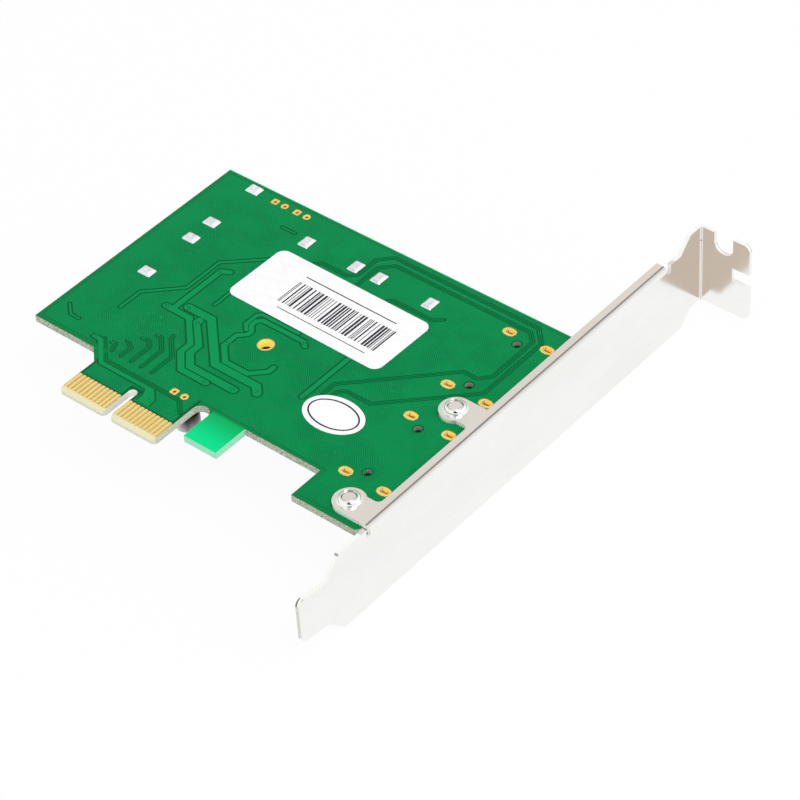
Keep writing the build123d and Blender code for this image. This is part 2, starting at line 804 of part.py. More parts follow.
with BuildPart() as heat_pad:
    with BuildSketch(Plane.XY.offset(chip_face)):
        with Locations((chip_x, chip_y)):
            Rectangle(chip_size, chip_size)
    extrude(amount=-heat_pad_thickness)
save(heat_pad, "thermal_pad")

sink_face = chip_face - heat_pad_thickness
fin_pitch = (sink_size - sink_fin_thickness) / (sink_fins - 1)
with BuildPart() as heat_sink:
    with BuildSketch(Plane.XY.offset(sink_face)):
        with Locations((chip_x, chip_y)):
            Rectangle(sink_size, sink_size)
    extrude(amount=-sink_base)
    with BuildSketch(Plane.XY.offset(sink_face - sink_base)):
        with Locations((chip_x, chip_y)):
            with GridLocations(fin_pitch, 0, sink_fins, 1):
                Rectangle(sink_fin_thickness, sink_size)
    extrude(amount=sink_base - sink_height)
save(heat_sink, "heat_sink")


def leaded_chip(body_name, lead_name, places, length, width, height, leads, pitch, lead_width):
    """A moulded package with gull wing leads on its two long sides."""
    lead_level = height / 2 + lead_standoff
    with BuildPart() as wings:
        for x, y in places:
            for side in (-1, 1):
                for i in range(leads):
                    lead_x = x + (i - (leads - 1) / 2) * pitch
                    wing = Plane((lead_x, y, component_face), x_dir=(0, side, 0), z_dir=(-side, 0, 0))
                    with BuildSketch(wing):
                        with BuildLine():
                            Polyline(
                                (width / 2 - lead_thickness, lead_level),
                                (width / 2 + lead_reach / 3, lead_level),
                                (width / 2 + lead_reach / 2, lead_thickness / 2),
                                (width / 2 + lead_reach, lead_thickness / 2),
                            )
                        trace(line_width=lead_thickness)
                    extrude(amount=lead_width / 2, both=True)
    save(wings, lead_name)
    with BuildPart() as body:
        with BuildSketch(Plane.XY.offset(component_face - lead_standoff)):
            with Locations(*places):
                Rectangle(length, width)
        extrude(amount=-height)
        chamfer(body.edges().group_by(Axis.Z)[0], height / 8)
        add(wings.part, mode=Mode.SUBTRACT)
    save(body, body_name)


leaded_chip("flash_chip", "flash_leads", [(flash_x, flash_y)], flash_length, flash_width, flash_height,
            flash_leads_per_side, flash_lead_pitch, flash_lead_width)
leaded_chip("regulator_chips", "regulator_leads", regulator_places, regulator_length, regulator_width,
            regulator_height, regulator_leads_per_side, regulator_lead_pitch, regulator_lead_width)

with BuildPart() as coils:
    with BuildSketch(Plane.XY.offset(component_face)) as coil_outline:
        with Locations(*coil_places):
            Rectangle(coil_size, coil_size)
        chamfer(coil_outline.vertices(), coil_corner)
    extrude(amount=-coil_height)
    chamfer(coils.edges().group_by(Axis.Z)[0], coil_edge)
save(coils, "power_inductors")

with BuildPart() as crystal_base:
    with BuildSketch(Plane.XY.offset(component_face)):
        with Locations((crystal_x, crystal_y)):
            Rectangle(crystal_length, crystal_width)
    extrude(amount=-crystal_base_height)
save(crystal_base, "crystal_base")

with BuildPart() as crystal_lid:
    with BuildSketch(Plane.XY.offset(component_face - crystal_base_height)):
        with Locations((crystal_x, crystal_y)):
            RectangleRounded(
                crystal_length - crystal_lid_height, crystal_width - crystal_lid_height, crystal_lid_height
            )
    extrude(amount=-crystal_lid_height)
save(crystal_lid, "crystal_lid")

# Electrolytic capacitor over a spare pair of holes: moulded base, drawn can with a
# groove, two flat leads
can_seat = component_face
with BuildPart() as can_leads:
    with BuildSketch(Plane.XY.offset(can_seat)):
        for side in (-1, 1):
            with Locations((can_x + side * (can_base_size / 2 + can_lead_reach - can_radius / 2), can_y)):
                Rectangle(can_radius, can_lead_width)
    extrude(amount=-lead_thickness)
save(can_leads, "capacitor_leads")

with BuildPart() as can_base:
    with BuildSketch(Plane.XY.offset(can_seat)) as base_outline:
        with Locations((can_x, can_y)):
            Rectangle(can_base_size, can_base_size)
        chamfer(base_outline.vertices().group_by(Axis.X)[-1], can_base_size / 5)
    extrude(amount=-can_base_height)
    add(can_leads.part, mode=Mode.SUBTRACT)
save(can_base, "capacitor_base")

can_top = can_seat - can_height
with BuildPart() as can:
    with BuildSketch(Plane.XZ.offset(-can_y)):
        with BuildLine():
            Polyline(
                (can_x, can_seat - can_base_height),
                (can_x + can_radius, can_seat - can_base_height),
                (can_x + can_radius, can_seat - can_base_height - 2 * can_groove),
                (can_x + can_radius - can_groove, can_seat - can_base_height - 3 * can_groove),
                (can_x + can_radius, can_seat - can_base_height - 4 * can_groove),
                (can_x + can_radius, can_top),
                (can_x, can_top),
                close=True,
            )
        make_face()
    revolve(axis=Axis((can_x, can_y, 0), (0, 0, 1)))
save(can, "capacitor_can")


def chip_parts(body_name, end_name, places, height):
    """Two-ended chip parts lying along Y: a body and its two metal ends."""
    with BuildPart() as ends:
        with BuildSketch(Plane.XY.offset(component_face)):
            with Locations(*places):
                with GridLocations(0, chip_part_length - chip_part_end, 1, 2):
                    Rectangle(chip_part_width, chip_part_end)
        extrude(amount=-height)
    save(ends, end_name)
    with BuildPart() as bodies:
        with BuildSketch(Plane.XY.offset(component_face)):
            with Locations(*places):
                Rectangle(chip_part_width, chip_part_length - 2 * chip_part_end)
        extrude(amount=-height)
    save(bodies, body_name)


chip_parts("chip_capacitors", "chip_capacitor_ends", capacitor_places, capacitor_height)
chip_parts("chip_resistors", "chip_resistor_ends", resistor_places, resistor_height)

# Paper labels on the solder side
label_line = (cos(radians(label_turn)), sin(radians(label_turn)), 0)
label_plane = Plane((label_x, label_y, copper_face), x_dir=label_line, z_dir=(0, 0, 1))
with BuildPart() as label:
    with BuildSketch(label_plane):
        RectangleRounded(label_length, label_width, label_radius)
    extrude(amount=label_thickness)
save(label, "product_label")

with BuildPart() as sticker:
    with BuildSketch(Plane.XY.offset(copper_face)):
        with Locations((sticker_x, sticker_y)):
            Ellipse(sticker_length / 2, sticker_width / 2)
    extrude(amount=label_thickness)
save(sticker, "inspection_sticker")
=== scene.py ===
"""Looks of a storage controller card that lies solder side up.

Metres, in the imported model's frame: X along the card towards its bracket, Y from
the gold edge contacts to the top edge, +Z out of the solder side. Sizes named
here are millimetres, and MM turns them into metres.
"""
from math import radians

import bmesh
import bpy
import numpy as np
from mathutils import Matrix, Vector
from mathutils.bvhtree import BVHTree


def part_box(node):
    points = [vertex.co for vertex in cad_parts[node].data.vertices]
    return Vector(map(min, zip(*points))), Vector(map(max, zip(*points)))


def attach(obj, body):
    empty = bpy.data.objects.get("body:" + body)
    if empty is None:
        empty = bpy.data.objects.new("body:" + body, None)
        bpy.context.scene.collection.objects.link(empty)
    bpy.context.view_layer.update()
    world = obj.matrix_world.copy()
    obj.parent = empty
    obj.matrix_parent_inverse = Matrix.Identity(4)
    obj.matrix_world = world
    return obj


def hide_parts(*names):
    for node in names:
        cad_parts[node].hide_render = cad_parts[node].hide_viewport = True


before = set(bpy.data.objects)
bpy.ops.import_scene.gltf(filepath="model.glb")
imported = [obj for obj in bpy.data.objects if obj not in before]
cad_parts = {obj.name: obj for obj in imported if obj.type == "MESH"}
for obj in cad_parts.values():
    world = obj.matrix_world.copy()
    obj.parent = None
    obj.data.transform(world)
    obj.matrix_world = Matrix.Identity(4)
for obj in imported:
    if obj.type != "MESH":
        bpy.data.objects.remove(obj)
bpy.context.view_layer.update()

MM = 0.001
rng = np.random.default_rng(41)


def span(node):
    """A CAD node's lowest and highest corner in millimetres."""
    low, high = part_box(node)
    return np.array(low) / MM, np.array(high) / MM


# Places read from the frame
board_low, board_high = span("circuit_board")
pour_low, pour_high = span("solder_side_ground_copper")
label_low, label_high = span("product_label")
sticker_low, sticker_high = span("inspection_sticker")
contact_low, contact_high = span("edge_contacts_solder_side")
can_low, can_high = span("capacitor_can")
bracket_bottom = span("bracket")[0][2]
rear_edge = board_low[0]
top_edge = board_high[1]
component_face = board_low[2]
solder_face = pour_low[2]
copper_face = pour_high[2]
border = pour_low[0] - rear_edge

# The board's outline below its body: tongues, tab and foot
body_edge = 12.5
tongue_out = 12.1
tab_start = 15.75
tab_end = 23.75
foot_edge = 4.45

# Holes and pads, as they lie on the board
slot_rows = (24.4, 53.75)
slot_columns = (46.1, 55.1)
slot_reach = 9.275
slot_places = [(x, y + side * slot_reach) for y in slot_rows for side in (-1, 1) for x in slot_columns]
peg_column = 49.5
header_pitch = 2.54
square_pads = [(-16.4, 66.4), (-10.6, 66.4), (6.1, 12.4)]
round_pads = [(x + header_pitch, y) for x, y in square_pads]
tie_place = (11.1, 32.6)

# The bracket's ears and their collars
ear_x = 52.19
ear_heights = (9.1, 39.3)
lip_top = copper_face + 0.86
collar_top = lip_top + 1.0

# Print and masked copper that scene.py adds sink a little into what carries them
print_sink = 0.002
print_height = 0.012
copper_sink = 0.02

PORTS = (1, 2, 3, 4)
HOUSINGS = [f"sata_housing_{port}" for port in PORTS]


# Colours

def srgb(red, green, blue):
    """A colour of 0 to 255 a channel as the linear values that the shader takes."""
    share = np.array((red, green, blue)) / 255
    linear = np.where(share <= 0.04045, share / 12.92, ((share + 0.055) / 1.055) ** 2.4)
    return (*linear.tolist(), 1.0)


MASK_POUR = srgb(3, 134, 75)
MASK_BARE = srgb(6, 128, 70)
MASK_BORDER = srgb(12, 142, 82)
MASK_EDGE_HIGHLIGHT = srgb(92, 206, 154)
MASK_TRACK = srgb(5, 149, 84)
MASK_PAIR = srgb(6, 132, 72)
MASK_CHANNEL = srgb(3, 96, 53)
VIA_RING = srgb(18, 160, 96)
VIA_DARK = srgb(3, 90, 50)
TAB_ROOT = srgb(3, 176, 96)
TAB_TIP = srgb(4, 226, 144)
TAB_SIDE = srgb(168, 236, 204)
LAMINATE_TOP = srgb(236, 231, 190)
LAMINATE_GAP = srgb(206, 168, 92)
LAMINATE_SIDE = srgb(212, 216, 200)
LAMINATE_FLECK = srgb(96, 112, 78)
TONGUE_SIDE = srgb(234, 234, 222)
CROWN_HIGHLIGHT = srgb(250, 251, 248)
HOLE_SHADE_DEEP = srgb(12, 44, 28)
HOLE_SHADE_SOFT = srgb(150, 158, 140)
GOLD = srgb(255, 232, 140)
GOLD_DEEP = srgb(250, 212, 104)
CONTACT_GOLD = srgb(255, 236, 150)
CONTACT_DEEP = srgb(252, 226, 128)
CONTACT_HIGHLIGHT = srgb(255, 248, 198)
CONTACT_SHADE = srgb(246, 208, 104)
BORE_BRIGHT = srgb(246, 186, 74)
BORE_SHADE = srgb(160, 64, 10)
SOLDER = srgb(250, 250, 252)
SOLDER_DULL = srgb(240, 238, 244)
NICKEL = srgb(249, 249, 247)
NICKEL_DULL = srgb(245, 245, 242)
CUT_METAL = srgb(250, 250, 247)
DARK_EDGE_REFLECTION = srgb(104, 96, 90)
SEAM_SHADOW_DARK = srgb(70, 60, 52)
SEAM_SHADOW_PALE = srgb(176, 166, 156)
TIN = srgb(206, 206, 210)
TIN_DULL = srgb(186, 187, 192)
ALUMINIUM = srgb(212, 212, 214)
ALUMINIUM_DULL = srgb(196, 196, 199)
CAN_SHADE = srgb(20, 20, 22)
ANODISED = srgb(26, 27, 30)
ANODISED_WORN = srgb(38, 39, 43)
PAPER = srgb(254, 255, 255)
PAPER_COOL = srgb(248, 249, 253)
PRINT = srgb(44, 46, 56)
PRINT_THIN = srgb(120, 122, 130)
SILKSCREEN = srgb(240, 242, 238)
MOULDING = srgb(30, 30, 33)
PORT_PLASTIC = srgb(22, 22, 24)
THERMAL_FILLER = srgb(150, 155, 160)
FERRITE = srgb(66, 66, 70)
CRYSTAL_CERAMIC = srgb(96, 84, 72)
LID_METAL = srgb(222, 216, 200)
LID_DULL = srgb(206, 198, 180)
TAN_CERAMIC = srgb(176, 148, 112)
RESISTOR_GLAZE = srgb(24, 24, 28)
WALL_WARM = srgb(226, 220, 213)
WALL_BEIGE = srgb(206, 189, 173)
WALL_BROWN = srgb(96, 84, 72)
CAMERA_DARK = srgb(34, 31, 30)
FLOOR_PALE = (0.93, 0.93, 0.93, 1)
SKY_WHITE = (0.97, 0.97, 0.97, 1)
SKY_BRIGHT = (1.2, 1.2, 1.2, 1)
WHITE = (1, 1, 1, 1)
BLACK = (0, 0, 0, 1)


# Node helpers

def is_socket(value):
    """True for a node's socket, False for a plain value."""
    return isinstance(value, bpy.types.NodeSocket)


def add_node(kind, inputs, tree=None, **settings):
    """Adds a node to the tree of its inputs' sockets, or to the one given, sets its properties, and links
    or sets its inputs by name or number."""
    tree = tree or next(value.id_data for value in inputs.values() if is_socket(value))
    node = tree.nodes.new("ShaderNode" + kind)
    for name, value in settings.items():
        setattr(node, name, value)
    for name, value in inputs.items():
        if is_socket(value):
            tree.links.new(value, node.inputs[name])
        else:
            node.inputs[name].default_value = value
    return node


def compute(operation, *values):
    """The result of one Math node."""
    return add_node("Math", dict(enumerate(values)), operation=operation).outputs[0]


def scaled(value, factor, offset=0.0):
    """A value times a factor, plus an offset."""
    return compute("MULTIPLY_ADD", value, factor, offset)


def times(first, *others):
    """The product of all values."""
    for other in others:
        first = compute("MULTIPLY", first, other)
    return first


def largest(first, *others):
    """The largest of all values."""
    for other in others:
        first = compute("MAXIMUM", first, other)
    return first


def unsigned(value):
    """A value without its sign."""
    return compute("ABSOLUTE", value)


def weigh(first, second, weight):
    """The mean of two values, the first one with a weight of 0 to 1."""
    return scaled(first, weight, times(second, 1 - weight))


def blend(share, first, second):
    """Colour that runs from first to second as share runs from 0 to 1."""
    inputs = {"Factor": share, 6: first, 7: second}
    return add_node("Mix", inputs, data_type="RGBA").outputs[2]


def blend_numbers(share, first, second):
    """Value that runs from first to second as share runs from 0 to 1."""
    return add_node("Mix", {"Factor": share, 2: first, 3: second}).outputs[0]


def ease(value, low, high, start=0.0, end=1.0):
    """Start below low, end above high, and a smooth step between them."""
    inputs = {"Value": value, "From Min": low, "From Max": high, "To Min": start, "To Max": end}
    return add_node("MapRange", inputs, interpolation_type="SMOOTHSTEP").outputs[0]


def fall(value, low, high):
    """1 below low, 0 above high, and a smooth step between them."""
    return ease(value, low, high, 1.0, 0.0)


def inside(value, low, high, soft=0.02):
    """1 where a value lies between two limits, with a soft edge."""
    return times(ease(value, low - soft, low + soft), fall(value, high - soft, high + soft))


def noise(vector, size, detail=2.0, roughness=0.5):
    """Noise of one feature size, in the vector's own unit."""
    inputs = {"Vector": vector, "Scale": 1 / size, "Detail": detail, "Roughness": roughness}
    return add_node("TexNoise", inputs).outputs["Fac"]


def stretched(vector, factors):
    """A vector with each of its axes times its own factor."""
    return add_node("VectorMath", {0: vector, 1: factors}, operation="MULTIPLY").outputs[0]


def place_in_mm(tree):
    """Object coordinates in millimetres."""
    inputs = {0: add_node("TexCoord", {}, tree).outputs["Object"], "Scale": 1 / MM}
    return add_node("VectorMath", inputs, operation="SCALE").outputs[0]


def axes(vector):
    """The X, Y and Z of a vector."""
    parts = add_node("SeparateXYZ", {0: vector})
    return parts.outputs[0], parts.outputs[1], parts.outputs[2]


def facing_axes(tree):
    """The X, Y and Z of the surface's own normal."""
    return axes(add_node("TexCoord", {}, tree).outputs["Normal"])


def new_group(name, inputs, outputs):
    """An empty node group with named sockets, and its own input and output nodes."""
    group = bpy.data.node_groups.new(name, "ShaderNodeTree")
    for label, kind, value in inputs:
        socket = group.interface.new_socket(name=label, in_out="INPUT", socket_type="NodeSocket" + kind)
        if value is not None:
            socket.default_value = value
    for label, kind in outputs:
        group.interface.new_socket(name=label, in_out="OUTPUT", socket_type="NodeSocket" + kind)
    return group, group.nodes.new("NodeGroupInput").outputs, group.nodes.new("NodeGroupOutput").inputs


def make_mask_group():
    """Solder mask: slow drifts of tone, the fine diagonal hatch of the copper under it, and specks.
    The hatch is the sine of X + Y, so its lines run at 45 degrees, one pitch apart."""
    group, given, result = new_group(
        "solder_mask_tone",
        [("Vector", "Vector", None), ("Color", "Color", MASK_POUR), ("Hatch", "Float", 1.0)],
        [("Color", "Color"), ("Height", "Float")],
    )
    across, along, _ = axes(given["Vector"])
    hatch_pitch = 0.36
    diagonal = compute("ADD", across, along)
    wave = compute("SINE", times(diagonal, 2 * np.pi / (hatch_pitch * 2 ** 0.5)))
    lines = ease(wave, -0.9, 0.9)
    patches = ease(noise(given["Vector"], 7.0, 3.0), 0.38, 0.62, 0.35, 1.0)
    hatch = times(lines, patches, given["Hatch"])
    drift = noise(given["Vector"], 22.0)
    orange_peel = noise(given["Vector"], 0.9, 3.0)
    light = scaled(drift, 0.16, 0.86)
    light = scaled(orange_peel, 0.12, light)
    light = scaled(given["Hatch"], 0.13, light)
    light = scaled(hatch, -0.34, light)
    inputs = {0: given["Color"], "Scale": light}
    toned = add_node("VectorMath", inputs, operation="SCALE").outputs[0]
    group.links.new(toned, result["Color"])
    height = scaled(orange_peel, 0.35, times(hatch, -0.5))
    group.links.new(height, result["Height"])
    return group


def make_grain_group():
    """Fine grain of a moulded, rolled or sintered surface: two sizes of noise, and slow drifts."""
    group, given, result = new_group(
        "surface_grain",
        [("Vector", "Vector", None), ("Size", "Float", 0.2), ("Stretch", "Vector", (1, 1, 1))],
        [("Fine", "Float"), ("Drift", "Float")],
    )
    place = stretched(given["Vector"], given["Stretch"])
    scale = compute("DIVIDE", 1.0, given["Size"])
    fine = add_node("TexNoise", {"Vector": place, "Scale": scale, "Detail": 4.0, "Roughness": 0.6})
    slow = add_node("TexNoise", {"Vector": place, "Scale": times(scale, 0.06), "Detail": 2.0})
    group.links.new(fine.outputs["Fac"], result["Fine"])
    group.links.new(slow.outputs["Fac"], result["Drift"])
    return group


mask_group = make_mask_group()
grain_group = make_grain_group()


def mask_tone(place, color, hatch):
    """The colour and height that the solder mask group makes of one colour."""
    inputs = {"Vector": place, "Color": color, "Hatch": hatch}
    node = add_node("Group", inputs, node_tree=mask_group)
    return node.outputs["Color"], node.outputs["Height"]


def grain(place, size, stretch=(1, 1, 1)):
    """The fine and slow noise of the grain group at one size in millimetres."""
    inputs = {"Vector": place, "Size": size, "Stretch": stretch}
    node = add_node("Group", inputs, node_tree=grain_group)
    return node.outputs["Fine"], node.outputs["Drift"]


def new_material(name, **settings):
    """A material with its Principled shader's own sockets set, that shader and its place in millimetres."""
    material = bpy.data.materials.new(name)
    material.use_nodes = True
    shader = material.node_tree.nodes["Principled BSDF"]
    for label, value in settings.items():
        shader.inputs[label.replace("_", " ")].default_value = value
    return material, shader, place_in_mm(material.node_tree)


def reopen(material):
    """The shader, place and present colour of a material that is worked on further."""
    shader = material.node_tree.nodes["Principled BSDF"]
    return shader, place_in_mm(material.node_tree), shader.inputs["Base Color"].links[0].from_socket


def feed(shader, **results):
    """Links results to the shader's sockets, with Base_Color for Base Color."""
    for label, result in results.items():
        shader.id_data.links.new(result, shader.inputs[label.replace("_", " ")])


def add_bump(shader, height, depth):
    """Relief of a given depth in millimetres."""
    bump = add_node("Bump", {"Height": height, "Distance": depth * MM, "Strength": 1.0})
    feed(shader, Normal=bump.outputs[0])


# Materials

def solder_mask(name, color, hatch, lift=0.0):
    """Green mask over copper: glossy, with the copper's texture showing through. A lift makes it paler
    towards the top edge and the rear edge."""
    material, shader, place = new_material(name, Roughness=0.32, Specular_IOR_Level=0.05)
    toned, height = mask_tone(place, color, hatch)
    if lift:
        across, along, _ = axes(place)
        near, far = 1, 9
        top = ease(along, top_edge - far, top_edge - near)
        rear = ease(across, rear_edge + far, rear_edge + near)
        toned = blend(times(largest(top, rear), lift), toned, MASK_BORDER)
    feed(shader, Base_Color=toned)
    add_bump(shader, height, 0.012)
    return material


def board_mask(place, across, along, below, in_tongue):
    """Mask in the channels between copper, paler where no copper lies under it, and with a painted highlight
    along the top edge.
    """
    soft = 0.05
    rear = fall(across, rear_edge + border - soft, rear_edge + border + soft)
    top = ease(along, top_edge - border - soft, top_edge - border + soft)
    bottom = fall(along, body_edge + border - soft, body_edge + border + soft)
    bottom = times(bottom, compute("SUBTRACT", 1.0, in_tongue))
    no_copper = largest(rear, top, bottom, below)
    mask = blend(no_copper, MASK_CHANNEL, MASK_BARE)
    # Painted highlight: a thin pale mint band along the top edge
    mask = blend(ease(along, top_edge - 0.3, top_edge - soft), mask, MASK_EDGE_HIGHLIGHT)
    return mask_tone(place, mask, 0.25)


def bare_laminate(place, along):
    """Glass laminate round the contacts, browner between them, with pale flecks."""
    between = inside(along, contact_low[1] + 0.05, contact_high[1] + 0.4, 0.1)
    color = blend(between, LAMINATE_TOP, LAMINATE_GAP)
    flecks = ease(noise(place, 0.35, 3.0), 0.45, 0.7, 0.0, 0.3)
    return blend(flecks, color, LAMINATE_SIDE)


def cut_side(place, weave, in_tongue, on_tab):
    """Cut sides: glass layers with flecks of green and brown, a painted highlight round the key's crown, and
    painted shade on the peg holes' walls, darkest in their lower part."""
    across, along, level = axes(place)
    color = blend(ease(weave, 0.42, 0.62, 0.0, 0.85), LAMINATE_SIDE, LAMINATE_FLECK)
    color = blend(times(in_tongue, 0.8), color, TONGUE_SIDE)
    crown_start, crown_full = 6.6, 7.8
    key_half = 1.2
    # Painted highlight round the key's crown
    crown_highlight = times(inside(across, -key_half, key_half), ease(along, crown_start, crown_full))
    color = blend(times(crown_highlight, 0.8), color, CROWN_HIGHLIGHT)
    color = blend(on_tab, color, TAB_SIDE)
    peg_half = 0.95
    peg_wall = times(inside(across, peg_column - peg_half, peg_column + peg_half),
                     inside(along, body_edge, top_edge - 1))
    # Painted shade on the peg holes' walls, darker in their lower part
    hole_shade = blend(ease(level, -0.3, -0.08), HOLE_SHADE_DEEP, HOLE_SHADE_SOFT)
    return blend(peg_wall, color, hole_shade)


def laminate():
    """The board: mask on both faces, and bare glass laminate at the contacts, the tab and all cut sides."""
    material, shader, place = new_material("board_laminate", Specular_IOR_Level=0.06)
    across, along, _ = axes(place)
    facing = facing_axes(shader.id_data)[2]
    side = fall(unsigned(facing), 0.45, 0.75)
    below = fall(facing, -0.6, -0.4)
    in_tongue = inside(across, -tongue_out, tongue_out)
    toned, height = board_mask(place, across, along, below, in_tongue)

    # The tab has no copper in any layer, so light comes through it, most at its tip
    on_tab = times(inside(across, tab_start, tab_end + 0.2),
                   fall(along, body_edge - 0.5, body_edge + 0.6))
    tip = fall(along, foot_edge, body_edge + 1.0)
    toned = blend(on_tab, toned, blend(tip, TAB_ROOT, TAB_TIP))

    bare = times(fall(along, contact_high[1] - 0.22, contact_high[1] - 0.16), in_tongue)
    toned = blend(bare, toned, bare_laminate(place, along))

    weave = noise(stretched(place, (3.4, 3.4, 5.5)), 1.0, 4.0, 0.7)
    toned = blend(side, toned, cut_side(place, weave, in_tongue, on_tab))
    rough = scaled(largest(side, bare), 0.35, 0.34)
    feed(shader, Base_Color=toned, Roughness=rough)
    add_bump(shader, scaled(times(weave, side), 1.5, height), 0.02)
    return material


def metal(name, color, dull_color, roughness, size, stretch=(1, 1, 1), depth=0.004, spread=0.08, mirror=1.0):
    """A metal with drifting tone and roughness over a fine grain. Less mirror makes it satin."""
    material, shader, place = new_material(name, Metallic=mirror)
    fine, drift = grain(place, size, stretch)
    share = ease(weigh(fine, drift, 0.4), 0.35, 0.65)
    rough = scaled(share, spread, roughness - spread / 2)
    feed(shader, Base_Color=blend(share, color, dull_color), Roughness=rough)
    add_bump(shader, fine, depth)
    return material


def can_aluminium():
    """Drawn aluminium, darker towards the board and the tab that shade it."""
    material = metal("drawn_aluminium", ALUMINIUM, ALUMINIUM_DULL, 0.3, 0.2, (1, 1, 0.2), 0.006)
    shader, place, color = reopen(material)
    across, _, level = axes(place)
    can_middle = (can_low[0] + can_high[0]) / 2
    near_board = ease(level, component_face - 7.0, component_face - 2.0)
    far_side = ease(across, can_middle - 0.6, can_middle + 1.8)
    shade = times(near_board, scaled(far_side, 0.6, 0.35))
    feed(shader, Base_Color=blend(shade, color, CAN_SHADE))
    return material


def contact_plating():
    """Hard gold with a painted highlight along one side of each finger, where its rounded edge would catch
    the light, and painted shade along the other side. The fingers are 1 mm apart, so the place across one is
    what is left of X after the whole millimetres."""
    material = metal("contact_gold_plating", CONTACT_GOLD, CONTACT_DEEP, 0.3, 0.3, (1, 0.25, 1),
                     spread=0.1, mirror=0.7)
    shader, place, color = reopen(material)
    across = axes(place)[0]
    finger = compute("FRACT", compute("SUBTRACT", across, contact_low[0]))
    # Painted highlight on one side of each finger and painted shade on the other
    painted_highlight = inside(finger, 0.1, 0.3, 0.08)
    painted_shade = inside(finger, 0.5, 0.72, 0.1)
    toned = blend(painted_highlight, color, CONTACT_HIGHLIGHT)
    feed(shader, Base_Color=blend(painted_shade, toned, CONTACT_SHADE))
    return material


def bracket_edges(along, level, facing):
    """Two masks. The first is 1 on the cut edges of the plate and its ears, and on the plate's two ends. The
    second is 1 on the narrow rounds between a face and a cut edge, where a dark line of painted reflection
    lies."""
    outward = unsigned(facing[0])
    sideways = unsigned(facing[1])
    below_collars = fall(level, lip_top - 0.02, lip_top + 0.02)
    below_tab = fall(along, 95, 98)
    by_shoulder = fall(along, 3.2, 3.6)
    side_cut = times(ease(sideways, 0.75, 0.9), below_collars, below_tab)
    end_cut = times(ease(facing[2], 0.45, 0.7), largest(by_shoulder, ease(along, 97, 98)))

    # Painted dark reflection along the narrow rounds beside the cut edges, picked by the way they face
    long_edge_reflection = times(inside(outward, 0.3, 0.88, 0.1), 0.3)
    end_edge_reflection = times(inside(outward, 0.12, 0.92, 0.04), by_shoulder)
    plate_edge_reflection = times(largest(long_edge_reflection, end_edge_reflection), below_tab)
    upright = ease(unsigned(facing[2]), 0.1, 0.25)
    on_tab = ease(along, 105.0, 105.4, 0.0, 0.8)
    tab_edge_reflection = times(inside(sideways, 0.15, 0.93, 0.05), upright, on_tab)
    above_board = ease(level, copper_face + 0.5, lip_top - 0.3)
    ear_edge_reflection = times(inside(sideways, 0.3, 0.88, 0.1), below_collars, above_board, 0.7)
    return largest(side_cut, end_cut), largest(plate_edge_reflection, tab_edge_reflection, ear_edge_reflection)


def bracket_plating():
    """Bright nickel on the rolled faces, satin metal on the cut edges of the plate and its ears, and a
    painted dark reflection along the narrow rounds beside them.
    """
    material = metal("bracket_nickel", NICKEL, NICKEL_DULL, 0.17, 0.5, (1, 0.35, 1), 0.0006, 0.03)
    shader, place, rolled = reopen(material)
    _, along, level = axes(place)
    cut, edge_reflection = bracket_edges(along, level, facing_axes(shader.id_data))
    mirror = blend_numbers(cut, 1.0, 0.15)
    rough = blend_numbers(cut, shader.inputs["Roughness"].links[0].from_socket, 0.5)
    # Painted dark reflection laid over the edge rounds
    color = blend(edge_reflection, blend(cut, rolled, CUT_METAL), DARK_EDGE_REFLECTION)
    feed(shader, Base_Color=color, Metallic=mirror, Roughness=rough)
    return material


def plated_gold(name, bore_shade, patchy, glow):
    """Gold plating that turns orange in a bore, and red-brown in patches further down, a painted shade whose
    amount is given. The bore's faint glow stands for light that goes to and fro between its gold walls."""
    material, shader, place = new_material(name, Specular_IOR_Level=0.08, Emission_Strength=glow)
    fine, drift = grain(place, 0.12)
    level = axes(place)[2]
    depth = compute("SUBTRACT", solder_face, unsigned(level))
    bore = ease(depth, 0.0, 0.12)
    patches = noise(place, 0.35, 1.0)
    # Painted shade: red-brown, deeper down the bore and in patches
    deep_shade = ease(scaled(patches, -patchy, depth), 0.05, 0.3, 0.0, bore_shade)
    inner = blend(deep_shade, BORE_BRIGHT, BORE_SHADE)
    rim = blend(ease(drift, 0.35, 0.65, 0.0, 0.6), GOLD, GOLD_DEEP)
    feed(
        shader,
        Base_Color=blend(bore, rim, inner),
        Emission_Color=blend(bore, BLACK, inner),
        Metallic=scaled(bore, -0.6, 0.6),
        Roughness=scaled(fine, 0.1, scaled(bore, 0.4, 0.24)),
    )
    add_bump(shader, fine, 0.006)
    return material


def moulded(name, color, roughness, size, depth, specular=0.4):
    """Moulded plastic or epoxy: fine grain in relief, gloss and tone that drift."""
    material, shader, place = new_material(name, Specular_IOR_Level=specular)
    fine, drift = grain(place, size)
    lighter = tuple(min(1.0, channel * 1.5 + 0.004) for channel in color[:3]) + (1.0,)
    share = ease(weigh(fine, drift, 0.5), 0.35, 0.68)
    feed(shader, Base_Color=blend(share, color, lighter),
         Roughness=scaled(fine, 0.18, roughness - 0.09))
    add_bump(shader, fine, depth)
    return material


def paper():
    """Coated label paper: a little fibre and the faintest curl of tone."""
    material, shader, place = new_material("label_paper", Specular_IOR_Level=0.2)
    fine, drift = grain(place, 0.18, (1, 2.4, 1))
    share = ease(weigh(fine, drift, 0.5), 0.4, 0.62)
    feed(shader, Base_Color=blend(share, PAPER, PAPER_COOL),
         Roughness=scaled(fine, 0.2, 0.35))
    add_bump(shader, fine, 0.002)
    return material


def print_ink():
    """Black print, thinner where the ribbon gave less ink."""
    material, shader, place = new_material("label_ink", Roughness=0.55, Specular_IOR_Level=0.15)
    thin = ease(grain(place, 0.14)[0], 0.5, 0.8, 0.0, 0.5)
    feed(shader, Base_Color=blend(thin, PRINT, PRINT_THIN))
    return material


